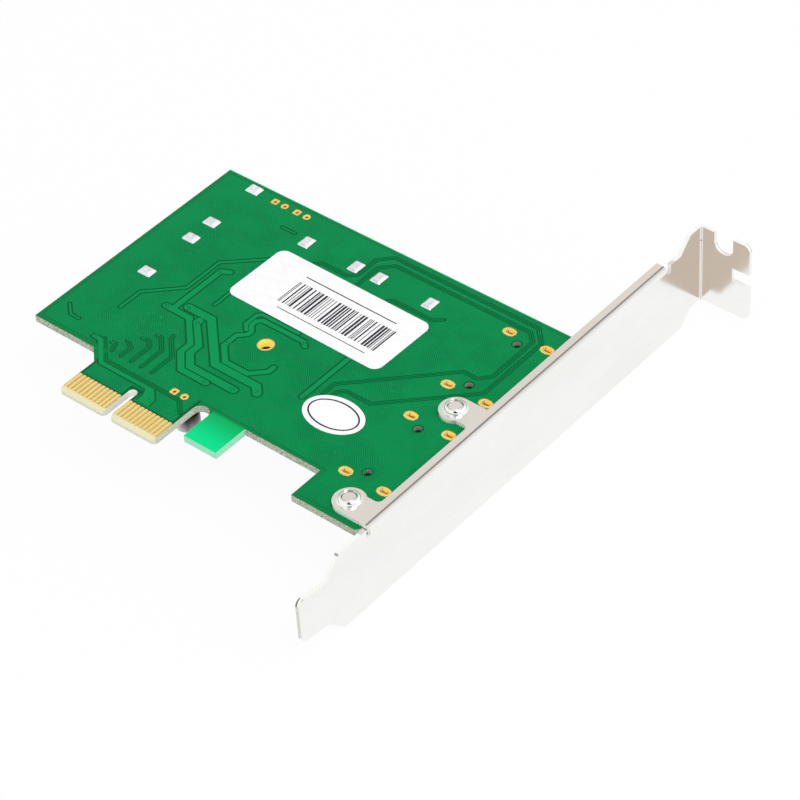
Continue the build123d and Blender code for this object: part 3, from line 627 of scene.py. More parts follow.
def via_mask():
    """Mask over a via: a pale ring round a dark dimple, by the mesh's own depth."""
    material, shader, place = new_material("via_mask", Roughness=0.4, Specular_IOR_Level=0.05)
    dimple = add_node("Attribute", {}, shader.id_data, attribute_name="dimple").outputs["Fac"]
    ring = mask_tone(place, VIA_RING, 0.0)[0]
    feed(shader, Base_Color=blend(ease(dimple, 0.1, 0.75), ring, VIA_DARK))
    return material


def seam_shadow():
    """Painted shadow: the dark line round a screw's tip, paler in places."""
    material, shader, place = new_material("seam_shadow", Roughness=0.6, Specular_IOR_Level=0.1)
    pale = ease(noise(place, 1.6, 1.0), 0.46, 0.66)
    feed(shader, Base_Color=blend(pale, SEAM_SHADOW_DARK, SEAM_SHADOW_PALE))
    return material


# Meshes: a shape is its points in millimetres and its faces

def add_piece(name, shape, material, smooth=True):
    """A piece made from a shape, which rides on the card."""
    points, faces = shape
    mesh = bpy.data.meshes.new(name)
    mesh.from_pydata((points * MM).tolist(), [], faces.tolist())
    mesh.update()
    if smooth:
        mesh.shade_smooth()
    else:
        mesh.shade_flat()
    mesh.materials.append(material)
    piece = bpy.data.objects.new(name, mesh)
    bpy.context.collection.objects.link(piece)
    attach(piece, "root")
    return piece


def grid_faces(rows, columns, wrap_rows=False):
    """Quads of a grid of points counted row by row, where each row closes on itself."""
    row = np.arange(rows if wrap_rows else rows - 1)[:, None]
    column = np.arange(columns)[None, :]
    next_row = (row + 1) % rows
    next_column = (column + 1) % columns
    corners = [row * columns + column, row * columns + next_column,
               next_row * columns + next_column, next_row * columns + column]
    return np.stack(corners, axis=-1).reshape(-1, 4)


def full_turn(steps, start=0.0):
    """Equal steps of angle once round, the first one at a share of a step."""
    return (np.arange(steps) + start) * 2 * np.pi / steps


def turned(radius, height, steps):
    """A profile turned about Z, ring by ring: x = radius cos a, y = radius sin a, z = height."""
    angle = full_turn(steps)
    reach = np.reshape(radius, (-1, 1))
    level = np.repeat(np.reshape(height, (-1, 1)), steps, axis=1)
    return np.stack([reach * np.cos(angle), reach * np.sin(angle), level], axis=-1).reshape(-1, 3)


def stacked(outlines):
    """Outlines at their heights, one above the other, as rows of points."""
    rows = [np.stack([line[0], line[1], np.full(len(line[0]), height)], axis=1) for line, height in outlines]
    return np.concatenate(rows)


def repeat(points, faces, places):
    """Copies of one small mesh at many places."""
    places = np.asarray(places, dtype=float)
    moved = (places[:, None, :] + points[None]).reshape(-1, 3)
    steps = (np.arange(len(places)) * len(points))[:, None, None]
    return moved, (faces[None] + steps).reshape(-1, faces.shape[1])


def join(shapes):
    """Several shapes as one: their points in a row, and each one's faces counted on from its first point."""
    starts = np.cumsum([0] + [len(points) for points, _ in shapes])
    faces = [sides + start for (_, sides), start in zip(shapes, starts)]
    return np.concatenate([points for points, _ in shapes]), np.concatenate(faces)


def slab(low_x, low_y, high_x, high_y, low_z, high_z):
    """The eight corners and six faces of a flat printed field."""
    points = np.array([(x, y, z) for z in (low_z, high_z) for y in (low_y, high_y) for x in (low_x, high_x)])
    faces = np.array([(0, 2, 3, 1), (4, 5, 7, 6), (0, 1, 5, 4), (2, 6, 7, 3), (0, 4, 6, 2), (1, 3, 7, 5)])
    return points, faces


def strip(left, right, base, top):
    """A flat closed band between two outlines that have the same count of points."""
    count = len(left)
    corners = [np.column_stack([side, np.full(count, z)]) for side, z in
               ((right, base), (right, top), (left, top), (left, base))]
    last = 4 * count - 1
    caps = np.array([(3, 2, 1, 0), (last - 3, last - 2, last - 1, last)])
    return np.stack(corners, axis=1).reshape(-1, 3), np.concatenate([grid_faces(count, 4)[:, ::-1], caps])


def ribbon(points, width, base, top):
    """A flat band along straight runs: at each corner both sides lie on the line that halves the corner,
    half a width from the route, over the cosine of half the bend."""
    line = np.asarray(points, dtype=float)
    runs = np.diff(line, axis=0)
    runs /= np.linalg.norm(runs, axis=1)[:, None]
    before = np.vstack([runs[:1], runs])
    after = np.vstack([runs, runs[-1:]])
    tangent = before + after
    tangent /= np.linalg.norm(tangent, axis=1)[:, None]
    normal = np.stack([-tangent[:, 1], tangent[:, 0]], axis=1)
    stretch = 1 / np.sum(tangent * after, axis=1)
    offset = normal * (stretch * width / 2)[:, None]
    return strip(line + offset, line - offset, base, top)


def oval(angle, length, width):
    """A stadium outline: a round end at each end of a straight middle, by the angle it is seen at."""
    half_width = width / 2
    straight = length / 2 - half_width
    across = np.cos(angle) * half_width + np.sign(np.cos(angle)) * straight
    return np.array([across, np.sin(angle) * half_width])


def rounded_square(angle, size, power=7.0):
    """A superellipse: |x|^power + |y|^power is the same all round."""
    reach = (np.abs(np.cos(angle)) ** power + np.abs(np.sin(angle)) ** power) ** (-1 / power)
    return np.array([reach * np.cos(angle), reach * np.sin(angle)]) * size / 2


def joined_form(mesh):
    """A bmesh of a CAD mesh with its loose triangles joined."""
    form = bmesh.new()
    form.from_mesh(mesh)
    bmesh.ops.remove_doubles(form, verts=form.verts[:], dist=0.002 * MM)
    return form


def soften(node, width):
    """A copy of a CAD node with its triangles joined, its flats made whole and its edges rounded."""
    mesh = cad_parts[node].data.copy()
    form = joined_form(mesh)
    bmesh.ops.dissolve_limit(form, angle_limit=radians(0.5), verts=form.verts[:], edges=form.edges[:])
    form.to_mesh(mesh)
    form.free()
    mesh.shade_smooth()
    piece = bpy.data.objects.new(node + "_form", mesh)
    bpy.context.collection.objects.link(piece)
    bevel = piece.modifiers.new("rounded edges", "BEVEL")
    bevel.width = width * MM
    bevel.segments = 2
    bevel.limit_method = "ANGLE"
    bevel.angle_limit = radians(28)
    bevel.use_clamp_overlap = True
    normals = piece.modifiers.new("flat faces", "WEIGHTED_NORMAL")
    normals.weight = 60
    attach(piece, "root")
    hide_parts(node)


def finish_node(node, material):
    """Gives a CAD node, or the piece made from it, its one material."""
    piece = bpy.data.objects.get(node + "_form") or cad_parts[node]
    piece.data.materials.clear()
    piece.data.materials.append(material)


def solids_of(node):
    """The box of each separate solid of a CAD node, in millimetres."""
    form = joined_form(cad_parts[node].data)
    seen, boxes = set(), []
    for start in form.verts:
        if start in seen:
            continue
        waiting, found = [start], []
        seen.add(start)
        while waiting:
            vertex = waiting.pop()
            found.append(vertex.co[:])
            for edge in vertex.link_edges:
                other = edge.other_vert(vertex)
                if other not in seen:
                    seen.add(other)
                    waiting.append(other)
        found = np.array(found) / MM
        boxes.append((found.min(axis=0), found.max(axis=0)))
    form.free()
    return boxes


def covered(x, y, boxes, margin):
    """True where a place lies in one of the boxes or within the margin of it."""
    return any(low[0] - margin < x < high[0] + margin and low[1] - margin < y < high[1] + margin
               for low, high in boxes)


def loose_grid(x_range, y_range, spacing, drift):
    """Places on a square grid, each moved by up to the drift either way."""
    x, y = np.meshgrid(np.arange(*x_range, spacing), np.arange(*y_range, spacing))
    return np.stack([x.ravel(), y.ravel()], axis=1) + rng.uniform(-drift, drift, (x.size, 2))


# Plated holes and solder

def plated_hole(outer, inner):
    """A plated hole as a closed ring of outlines: out over the solder side's rim, down the bore and out
    over the component side's rim. The rims are a little domed."""
    plating, face = 0.03, 0.045
    middle = (outer + inner) / 2
    shoulder, lip, bore = outer * 0.985, inner * 1.04, inner * (1 - plating)
    low, high = component_face - face, solder_face + face
    outlines = [
        (outer, solder_face - 0.01), (shoulder, high - 0.012), (middle, high + 0.004), (lip, high - 0.002),
        (bore, high - 0.03), (bore, low + 0.03),
        (lip, low + 0.002), (middle, low - 0.004), (shoulder, low + 0.012), (outer, component_face + 0.01),
    ]
    return stacked(outlines), grid_faces(len(outlines), outer.shape[1], wrap_rows=True)[:, ::-1]


def plated_holes():
    """All plated holes: oval slots of the external ports, header pads, and the mounting hole."""
    slot_gold = plated_gold("slot_gold", 0.85, 0.8, 0.45)
    header_gold = plated_gold("header_gold", 1.0, 0.1, 0.4)
    mounting_gold = plated_gold("mounting_hole_gold", 0.0, 0.9, 0.7)
    angle = full_turn(48, 0.5)
    round_power = 2.0
    header_bore = rounded_square(angle, 0.84, round_power)
    header_round = rounded_square(angle, 1.68, round_power)
    tie_rim = rounded_square(angle, 3.5, round_power)
    tie_bore = rounded_square(angle, 2.7, round_power)
    kinds = {
        "port_slots": (slot_places, oval(angle, 3.1, 2.3), oval(angle, 2.1, 1.0), slot_gold),
        "square_header": (square_pads, rounded_square(angle, 1.62), header_bore, header_gold),
        "round_header": (round_pads, header_round, header_bore, header_gold),
        "mounting_ring": ([tie_place], tie_rim, tie_bore, mounting_gold),
    }
    for name, (places, outer, inner, finish) in kinds.items():
        shape = repeat(*plated_hole(outer, inner), [(x, y, 0.0) for x, y in places])
        add_piece(name, shape, finish)
    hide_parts("port_slot_plating")
    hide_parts("header_pads")
    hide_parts("mounting_hole_plating")


def solder_dome(length, width, height, lean):
    """Solder on a square pad: a superellipse whose power falls from 14 to 2 inwards, raised by a flattened
    dome, (1 - reach^2.2)^0.8, less a crease where the lock's tip stands under the solder."""
    angle = full_turn(40)
    rings = 14
    reach = np.linspace(1, 0, rings)[:, None]
    power = 14 - 12 * (1 - reach) ** 0.6
    shape = (np.abs(np.cos(angle)) ** power + np.abs(np.sin(angle)) ** power) ** (-1 / power)
    across = reach * shape * np.cos(angle) * length / 2
    along = reach * shape * np.sin(angle) * width / 2
    dome = (1 - reach ** 2.2) ** 0.8
    crease = 0.28 * np.exp(-((across - lean) / 0.16) ** 2) * np.exp(-(along / 0.7) ** 2)
    ripple = 0.06 * np.sin(2.1 * across + 1.3) * np.cos(1.7 * along + lean)
    raised = solder_face + 0.01 + height * dome * (1 + ripple) - height * crease * dome
    return np.stack([across, along, raised], axis=-1).reshape(-1, 3), grid_faces(rings, len(angle))


def board_lock_solder():
    """Eight solder joints over the board locks, full domes at the rear and flatter ones at the top."""
    material = metal("bright_solder", SOLDER, SOLDER_DULL, 0.25, 0.8, depth=0.0003, spread=0.05, mirror=0.5)
    inset, lock_reach = 8.5, 6.4
    rear = [(rear_edge + inset, y + side * lock_reach) for y in (41.45, 60.3) for side in (-1, 1)]
    top = [(x + side * lock_reach, top_edge - inset) for x in (3.6, 22.3) for side in (-1, 1)]
    shapes = []
    for places, sizes in ((rear, (3.2, 2.5, 0.8)), (top, (2.5, 3.2, 0.6))):
        for x, y in places:
            points, faces = solder_dome(*sizes, rng.uniform(-0.35, 0.35))
            shapes.append((points + np.array([x, y, 0]), faces))
    piece = add_piece("lock_solder", join(shapes), material)
    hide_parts("board_lock_solder")


# Vias

def via_places():
    """Where the vias lie: rows along the edges, columns by the bracket, clusters at track ends, and a loose
    scatter over the pour wherever bare pour is found."""
    top = top_edge - 0.75
    top_rear = top_edge - 0.8
    inner = top_edge - 2.85
    rear = rear_edge + 0.7
    low = body_edge + 1.35
    runs = [
        ((0.7, top), (51.5, top), 17), ((-28.0, top_rear), (-3.0, top_rear), 6),
        ((16.0, inner), (51.0, inner), 12), ((rear, 14.0), (rear, 58.0), 12),
        ((14.9, low), (52.6, low), 9), ((54.4, 49.0), (54.4, 61.0), 5),
        ((42.8, 17.3), (42.8, 28.2), 4), ((48.9, 17.3), (48.9, 28.2), 4),
    ]
    rows = [np.linspace(start, end, count) for start, end, count in runs]
    clusters = [(-12.0, 29.75), (-8.0, 31.75), (-3.9, 29.6), (18.6, 21.6), (14.4, 19.3), (8.8, 17.65),
                (-16.9, 14.9), (4.4, 7.7), (26.45, 26.0), (-10.6, 43.2), (5.0, 28.6), (16.8, 37.2)]
    corners = 0.36 * np.array([(-1, 0.2), (1, 0), (0, 1), (0.1, -1)])
    for place in clusters:
        rows.append(np.array(place) + corners + rng.uniform(-0.1, 0.1, (4, 2)))
    fan_ends = [(-13.4, 15.7), (-11.3, 17.9), (-9.5, 20.1), (-7.7, 22.4), (-5.1, 24.5),
                (-11.4, 13.2), (-9.0, 13.0), (-6.3, 13.0), (-3.7, 13.0), (-0.9, 13.0)]
    rows.append(np.array([(x + side * 0.35, y) for x, y in fan_ends for side in (-1, 1)]))
    loose = loose_grid((-29, 56), (7, 66), 2.9, 1.2)
    by_fan = rng.uniform((-16.5, 13.4), (1.5, 27.0), (90, 2))
    return np.concatenate(rows), np.concatenate([loose, by_fan])


def add_vias(name, profile, steps, side, centres, material):
    """Vias as one piece: rows of radius, lift and dimple turned about each centre, on one side of the
    board. The dimple is kept as an attribute that the material reads."""
    radius, lift, dimple = np.array(profile).T
    faces = grid_faces(len(radius), steps)
    if side > 0:
        faces = faces[:, ::-1]
    shape = repeat(turned(radius, side * lift, steps), faces, centres)
    piece = add_piece(name, shape, material)
    attribute = piece.data.attributes.new("dimple", "FLOAT", "POINT")
    attribute.data.foreach_set("value", np.tile(np.repeat(dimple, steps), len(centres)))


def vias():
    """Tented vias of the solder side: a low ring with a dark dimple."""
    fixed, loose = via_places()
    scene_state = bpy.context.evaluated_depsgraph_get()
    pour = BVHTree.FromObject(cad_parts["solder_side_ground_copper"], scene_state)
    stickers = [(label_low, label_high), (sticker_low, sticker_high)]
    margin = 0.4
    lowest_hit = (copper_face - 0.01) * MM
    down = Vector((0, 0, -1))

    def on_pour(x, y):
        start = Vector((x * MM, y * MM, 0.01))
        place = pour.ray_cast(start, down)[0]
        return place is not None and place.z > lowest_hit

    def bare(x, y):
        around = [(0, 0), (margin, 0), (-margin, 0), (0, margin), (0, -margin)]
        return not covered(x, y, stickers, margin) and all(on_pour(x + a, y + b) for a, b in around)

    profile = [(0.0, 0.003, 1.0), (0.11, 0.003, 1.0), (0.16, 0.005, 0.8), (0.20, 0.010, 0.1),
               (0.25, 0.009, 0.0), (0.30, -0.002, 0.0)]
    centres = [(x, y, copper_face + 0.008) for x, y in fixed]
    centres += [(x, y, copper_face) for x, y in loose if bare(x, y)]
    add_vias("tented_vias", profile, 14, 1, centres, via_mask())


def component_side_vias():
    """Plain vias on the component side, scattered between the parts."""
    loose = loose_grid((-28, 56), (15, 66), 4.1, 1.5)
    taken = []
    for node in ("heat_sink", "power_inductors", "regulator_chips", "flash_chip", "crystal_base",
                 "capacitor_base", *HOUSINGS, "bracket_screws", "chip_capacitors", "chip_resistors"):
        taken += solids_of(node)
    slot_clear = np.array([2.2, 1.9])
    taken += [(np.array(place) - slot_clear, np.array(place) + slot_clear) for place in slot_places]
    taken.append((np.array([peg_column - 1.4, 14.0]), np.array([peg_column + 1.4, 64.0])))
    centres = [(x, y, component_face) for x, y in loose if not covered(x, y, taken, 0.7)]
    profile = [(0.0, 0.004, 1.0), (0.12, 0.004, 1.0), (0.18, 0.016, 0.2), (0.24, 0.014, 0.0),
               (0.3, -0.002, 0.0)]
    add_vias("component_side_vias", profile, 12, -1, centres, bpy.data.materials["via_mask"])


# Print

def label_print(ink):
    """Plain print on the label: a field of upright bars of drifting width, and a thin rule above and below,
    all turned a little about the label's centre."""
    centre = (label_low + label_high)[:2] / 2
    turn = radians(-0.8)
    low_z = label_high[2] - print_sink
    high_z = label_high[2] + print_height
    bar_low, bar_high = 43.45, 50.25
    fields = []
    place = 4.3
    bar_end = 29.0
    while place < bar_end:
        width = rng.choice((0.17, 0.17, 0.34, 0.5))
        fields.append((place, bar_low, place + width, bar_high))
        place += width + rng.choice((0.2, 0.24, 0.42, 0.62))
    fields += [(4.3, 51.95, 27.3, 52.2), (5.6, 41.9, 28.0, 42.08)]
    points, faces = join([slab(*field, low_z, high_z) for field in fields])
    rotation = np.array([[np.cos(turn), np.sin(turn)], [-np.sin(turn), np.cos(turn)]])
    points[:, :2] = (points[:, :2] - centre) @ rotation + centre
    add_piece("label_bars", (points, faces), ink, smooth=False)


def sticker_ring(ink):
    """The sticker's printed ring: a flat band between two ellipses of one centre."""
    centre = (sticker_low + sticker_high) / 2
    angle = full_turn(120)
    half_sizes = np.array([[5.5], [3.45]])
    line = 0.17
    base = sticker_high[2] - print_sink
    top = sticker_high[2] + print_height
    middle = centre[:2, None]
    around = np.array([np.cos(angle), np.sin(angle)])
    outlines = [(middle + (half_sizes + grow) * around, height)
                for grow, height in ((-line, base), (-line, top), (line, top), (line, base))]
    shape = stacked(outlines), grid_faces(len(outlines), len(angle), wrap_rows=True)
    add_piece("sticker_ring", shape, ink, smooth=False)


def silkscreen():
    """White outlines round the parts of the component side, each a thin printed frame."""
    line = 0.15
    margin = 0.1
    clearances = {
        "heat_sink": 0.35, "flash_chip": 0.25, "regulator_chips": 0.25, "power_inductors": 0.3,
        "crystal_base": 0.3, "chip_capacitors": 0.45, "chip_resistors": 0.45,
        **dict.fromkeys(HOUSINGS, 0.25), "capacitor_base": 0.3,
    }
    fields = []
    for node, gap in clearances.items():
        grow = np.array([gap, gap * (1.6 if node.startswith("chip_") else 1.0)])
        for low, high in solids_of(node):
            x0, y0 = np.maximum(low[:2] - grow, board_low[:2] + margin)
            x1, y1 = np.minimum(high[:2] + grow, board_high[:2] - margin)
            fields += [(x0, y0, x1, y0 + line), (x0, y1 - line, x1, y1),
                       (x0, y0 + line, x0 + line, y1 - line), (x1 - line, y0 + line, x1, y1 - line)]
    shape = join([slab(*field, component_face - 0.015, component_face + 0.002) for field in fields])
    ink = moulded("silkscreen_ink", SILKSCREEN, 0.6, 0.1, 0.003, 0.2)
    add_piece("component_side_outlines", shape, ink, smooth=False)


# Copper that only this file draws

def component_side_tracks():
    """Masked copper on the component side: pairs from the controller to each port, and supply runs."""
    pairs = [
        [(9.5, 47.2), (2.0, 47.2), (-8.0, 41.45), (-18.2, 41.45)],
        [(9.5, 49.2), (1.0, 49.2), (-9.0, 57.5), (-14.0, 60.3), (-18.2, 60.3)],
        [(12.4, 50.0), (12.4, 52.5), (5.0, 55.5), (3.6, 57.0)],
        [(15.6, 50.0), (15.6, 52.5), (20.6, 55.5), (22.3, 57.0)],
        [(12.4, 41.0), (12.4, 39.6), (4.6, 31.8), (4.6, 22.0), (-3.2, 14.2), (-3.2, 6.3)],
        [(15.0, 41.0), (15.0, 39.9), (6.6, 31.5), (6.6, 17.0), (3.2, 13.6), (3.2, 6.3)],
        [(18.5, 46.5), (28.5, 46.5), (35.2, 48.2)],
        [(18.5, 44.6), (27.0, 44.6), (34.0, 41.0), (44.5, 34.4)],
    ]
    supplies = [
        ([(24.0, 26.6), (24.0, 24.8)], 1.6), ([(38.0, 26.6), (38.0, 24.8)], 1.6),
        ([(24.0, 20.2), (24.0, 17.5), (20.0, 14.6), (11.5, 14.6)], 1.4),
        ([(38.0, 20.2), (38.0, 18.0), (34.6, 14.8), (22.0, 14.8)], 1.4),
        ([(-11.0, 17.6), (-11.0, 24.0), (-4.0, 31.0), (-4.0, 40.5)], 1.2),
        ([(-26.0, 18.0), (-20.0, 18.0), (-16.0, 22.0), (-16.0, 33.0)], 1.0),
        ([(30.0, 60.0), (40.5, 60.0), (44.0, 56.0)], 0.9),
    ]
    shift = np.array([0.22, 0.132])
    pair_width = 0.2
    runs = [(np.array(route) + side * shift, pair_width) for route in pairs for side in (-1, 1)] + supplies
    base, top = component_face - 0.03, component_face + 0.002
    shape = join([ribbon(route, width, base, top) for route, width in runs])
    mask = solder_mask("component_track_mask", MASK_TRACK, 0.0)
    add_piece("component_side_tracks", shape, mask, smooth=False)


def redrawn_copper():
    """Copper that the pour's channels set apart: the channel between the two lowest lanes, and the supply
    run's wide end between the key and the spare holes, each as a band of mask just over the copper."""
    channel = solder_mask("channel_mask", MASK_CHANNEL, 0.0)
    track = bpy.data.materials["track_mask"]
    lane_gap = [(-5.0, 29.45), (0.15, 24.4), (0.15, 21.85), (3.25, 18.45), (10.0, 18.45)]
    outer = np.array([(1.1, 10.5), (2.64, 10.5), (4.94, 8.17), (5.05, 6.4)])
    inner = np.array([(1.1, 9.6), (1.35, 9.4), (1.95, 8.28), (2.1, 6.4)])
    base = copper_face - copper_sink
    channel_top = copper_face + 0.004
    track_top = copper_face + 0.008
    bands = {
        "lane_channel": (ribbon(lane_gap, 0.3, base, channel_top), channel),
        "supply_end_outer_channel": (ribbon(outer[1:], 0.6, base, channel_top), channel),
        "supply_end_inner_channel": (ribbon(inner[1:], 0.6, base, channel_top), channel),
        "supply_end": (strip(outer, inner, base, track_top), track),
    }
    for name, (shape, material) in bands.items():
        add_piece(name, shape, material, smooth=False)


# Collars

def collar_skins():
    """The drawn collars' smooth outsides, a profile of arcs turned about each screw: reach = centre +
    radius cos a, height = centre + radius sin a. The foot flows out of the ear, and the top rolls over
    into the bore."""
    arcs = [(2.44, 0.25, 0.25, 270, 180, 6), (1.3, 0.25, 0.89, 0, 60, 14), (1.685, 0.917, 0.12, 60, 180, 6)]
    reach, height = [2.44], [-0.02]
    for middle, level, radius, start, end, count in arcs:
        turn = np.radians(np.linspace(start, end, count))
        reach += (middle + radius * np.cos(turn)).tolist()
        height += (level + radius * np.sin(turn)).tolist()
    reach.append(1.58)
    height.append(0.7)
    steps = 72
    centres = [(ear_x, y, lip_top + 0.005) for y in ear_heights]
    shape = repeat(turned(reach, height, steps), grid_faces(len(reach), steps), centres)
    skin = metal("collar_nickel", NICKEL, NICKEL_DULL, 0.08, 0.5, depth=0.0004, spread=0.03)
    add_piece("collar_skins", shape, skin)


def collar_seam_shadows():
    """Painted shadow in the seam round the screw's tip in each collar, a dark torus: a circle of reach =
    ring + thick cos b and height = thick sin b, turned about the screw."""
    ring, thick = 1.56, 0.06
    steps = 64
    turn = full_turn(8)
    points = turned(ring + thick * np.cos(turn), collar_top - 0.08 + thick * np.sin(turn), steps)
    faces = grid_faces(len(turn), steps, wrap_rows=True)[:, ::-1]
    shape = repeat(points, faces, [(ear_x, y, 0.0) for y in ear_heights])
    # Painted shadow: a dark torus in each collar's seam
    add_piece("collar_seam_shadows", shape, seam_shadow())


# Rounded edges, and the finish of every node

EDGE_WIDTHS = {
    "bracket": 0.12, "bracket_screws": 0.12, "circuit_board": 0.04, "capacitor_can": 0.12,
    "capacitor_base": 0.08, "heat_sink": 0.1, **dict.fromkeys(HOUSINGS, 0.1),
    "flash_chip": 0.06, "regulator_chips": 0.05, "power_inductors": 0.1, "product_label": 0.03,
    "inspection_sticker": 0.03, "crystal_base": 0.04, "crystal_lid": 0.06, "controller_chip": 0.04,
    "chip_capacitors": 0.03, "chip_capacitor_ends": 0.05, "chip_resistors": 0.02, "chip_resistor_ends": 0.03,
    "edge_contacts_solder_side": 0.015, "edge_contacts_component_side": 0.015,
}
for node_name, edge_width in EDGE_WIDTHS.items():
    soften(node_name, edge_width)


def finish_nodes():
    """One material for each kind of part, given to all nodes of that kind."""
    contact_gold = contact_plating()
    screw_nickel = metal("screw_nickel", NICKEL, NICKEL_DULL, 0.16, 0.3, depth=0.002)
    epoxy = moulded("chip_epoxy", MOULDING, 0.55, 0.12, 0.01)
    tin = metal("tinned_leads", TIN, TIN_DULL, 0.34, 0.15, depth=0.006)
    anodising = metal("black_anodising", ANODISED, ANODISED_WORN, 0.42, 0.2, (1, 0.1, 1), 0.01, 0.1)
    label_stock = paper()
    port_plastic = moulded("port_plastic", PORT_PLASTIC, 0.5, 0.18, 0.016)
    port_gold = metal("port_contact_gold", GOLD, GOLD_DEEP, 0.25, 0.2)
    finishes = {
        "circuit_board": laminate(),
        "solder_side_ground_copper": solder_mask("pour_mask", MASK_POUR, 1.0, 0.45),
        "solder_side_power_tracks": solder_mask("track_mask", MASK_TRACK, 0.0),
        "solder_side_signal_pairs": solder_mask("pair_mask", MASK_PAIR, 0.0),
        "edge_contacts_solder_side": contact_gold,
        "edge_contacts_component_side": contact_gold,
        "bracket": bracket_plating(),
        "bracket_screws": screw_nickel,
        "controller_chip": epoxy, "flash_chip": epoxy, "regulator_chips": epoxy, "capacitor_base": epoxy,
        "controller_terminals": tin, "flash_leads": tin, "regulator_leads": tin, "capacitor_leads": tin,
        "chip_capacitor_ends": tin, "chip_resistor_ends": tin,
        "thermal_pad": moulded("thermal_filler", THERMAL_FILLER, 0.8, 0.2, 0.02),
        "heat_sink": anodising,
        "power_inductors": moulded("ferrite_powder", FERRITE, 0.6, 0.16, 0.03),
        "crystal_base": moulded("crystal_ceramic", CRYSTAL_CERAMIC, 0.5, 0.12, 0.01),
        "crystal_lid": metal("crystal_lid_metal", LID_METAL, LID_DULL, 0.28, 0.2),
        "capacitor_can": can_aluminium(),
        "chip_capacitors": moulded("capacitor_ceramic", TAN_CERAMIC, 0.5, 0.1, 0.01),
        "chip_resistors": moulded("resistor_glaze", RESISTOR_GLAZE, 0.3, 0.1, 0.006),
        "product_label": label_stock,
        "inspection_sticker": label_stock,
    }
    for port in PORTS:
        finishes[f"sata_housing_{port}"] = port_plastic
        finishes[f"sata_contacts_{port}"] = port_gold
        finishes[f"sata_board_locks_{port}"] = tin
    for node, material in finishes.items():
        finish_node(node, material)


finish_nodes()
ink_black = print_ink()
plated_holes()
board_lock_solder()
vias()
label_print(ink_black)
sticker_ring(ink_black)
silkscreen()
component_side_tracks()
component_side_vias()
collar_skins()
collar_seam_shadows()
redrawn_copper()


# Stage, light and camera

def floor_material():
    """A pale floor that takes a faint shadow, shows mostly plain white to the camera, and is clear from
    below."""
    material = bpy.data.materials.new("floor_white")
    material.use_nodes = True
    tree = material.node_tree
    tree.nodes.clear()
    diffuse = add_node("BsdfDiffuse", {"Color": FLOOR_PALE}, tree)
    glow = add_node("Emission", {"Color": WHITE, "Strength": 1.0}, tree)
    path = add_node("LightPath", {}, tree)
    plain = largest(path.outputs["Is Camera Ray"], path.outputs["Is Transmission Ray"])
    inputs = {0: scaled(plain, 0.65, 0.3), 1: diffuse.outputs[0], 2: glow.outputs[0]}
    mixed = add_node("MixShader", inputs)
    clear = add_node("BsdfTransparent", {}, tree)
    under = add_node("NewGeometry", {}, tree).outputs["Backfacing"]
    shown = add_node("MixShader", {0: under, 1: mixed.outputs[0], 2: clear.outputs[0]})
    add_node("OutputMaterial", {0: shown.outputs[0]})
    return material


def floor():
    """The floor, just under the bracket's lowest edge."""
    reach = 3.0
    height = (bracket_bottom - 0.02) * MM
    corners = [(x * reach, y * reach, height) for x, y in ((-1, -1), (1, -1), (1, 1), (-1, 1))]
    mesh = bpy.data.meshes.new("floor")
    mesh.from_pydata(corners, [], [(0, 1, 2, 3)])
    mesh.materials.append(floor_material())
    plane = bpy.data.objects.new("floor", mesh)
    bpy.context.collection.objects.link(plane)
    plane.visible_glossy = False


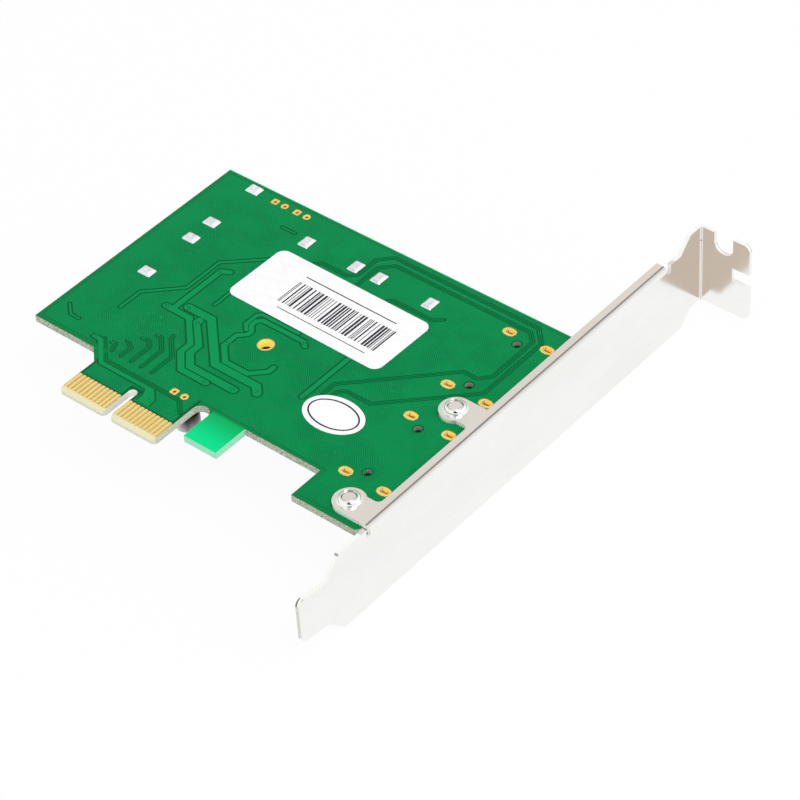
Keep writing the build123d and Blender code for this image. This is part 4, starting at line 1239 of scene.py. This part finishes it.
def studio_world():
    """Soft light from all round. What lies level mirrors a warm grey part of the studio, bent edges and
    rounds mirror a dark strip beside it and the dark camera, and the rest is white. Each patch has the
    direction of its middle, the cosines where it starts and is full, its strength and its colour."""
    world = bpy.data.worlds.new("studio")
    bpy.context.scene.world = world
    world.use_nodes = True
    tree = world.node_tree
    tree.nodes.clear()
    direction = add_node("TexCoord", {}, tree).outputs["Generated"]
    patches = {
        "window": ((0.75, 0.55, 0.35), 0.88, 0.95, 1.0, SKY_BRIGHT),
        "warm wall": ((-0.55, 0.52, 0.66), 0.72, 0.93, 1.0, WALL_WARM),
        "beige floor": ((0.50, -0.55, -0.67), 0.95, 0.985, 1.0, WALL_BEIGE),
        "high strip": ((-0.08, 0.5, 0.86), 0.955, 0.985, 0.8, WALL_BROWN),
        "low strip": ((-0.5, -0.28, 0.82), 0.965, 0.985, 0.7, WALL_BROWN),
        "camera": ((0.50, -0.55, 0.67), 0.91, 0.95, 1.0, CAMERA_DARK),
    }
    color = SKY_WHITE
    for toward, start, full, strength, tone in patches.values():
        inputs = {0: direction, 1: Vector(toward).normalized()}
        facing = add_node("VectorMath", inputs, operation="DOT_PRODUCT").outputs["Value"]
        color = blend(times(ease(facing, start, full), strength), color, tone)
    path = add_node("LightPath", {}, tree)
    color = blend(path.outputs["Is Camera Ray"], color, WHITE)
    background = add_node("Background", {"Color": color, "Strength": 1.0})
    add_node("OutputWorld", {0: background.outputs[0]})


def key_light():
    """A soft square lamp, high at the right, that looks at the card."""
    place = Vector((0.45, -0.05, 0.7))
    target = Vector((0.02, 0.04, 0))
    lamp = bpy.data.lights.new("key", "AREA")
    lamp.shape = "SQUARE"
    lamp.size = 0.4
    lamp.energy = 2.0
    light = bpy.data.objects.new("key", lamp)
    bpy.context.collection.objects.link(light)
    aim = (target - place).to_track_quat("-Z", "Y")
    light.matrix_world = Matrix.Translation(place) @ aim.to_matrix().to_4x4()


def photo_camera():
    """The camera that the contacts, the bracket and the board's corners fix: place, axes and lens."""
    sensor = 36.0
    frame_width = 800
    focal_pixels = 3154.73
    place = Vector((336.015, -285.280, 392.815)) * MM
    right = Vector((0.7669490150, 0.6395983389, -0.0519920495))
    down = Vector((0.3994060999, -0.5392027249, -0.7414412915))
    ahead = Vector((-0.5022588732, 0.5478817265, -0.6690004769))
    data = bpy.data.cameras.new("camera")
    data.sensor_width = sensor
    data.lens = sensor * focal_pixels / frame_width
    data.clip_start = 0.01
    data.clip_end = 20.0
    camera = bpy.data.objects.new("camera", data)
    bpy.context.collection.objects.link(camera)
    turn = Matrix((right, -down, -ahead)).transposed().to_4x4()
    camera.matrix_world = Matrix.Translation(place) @ turn
    bpy.context.scene.camera = camera


floor()
studio_world()
key_light()
photo_camera()
bpy.context.scene.view_settings.view_transform = "Standard"
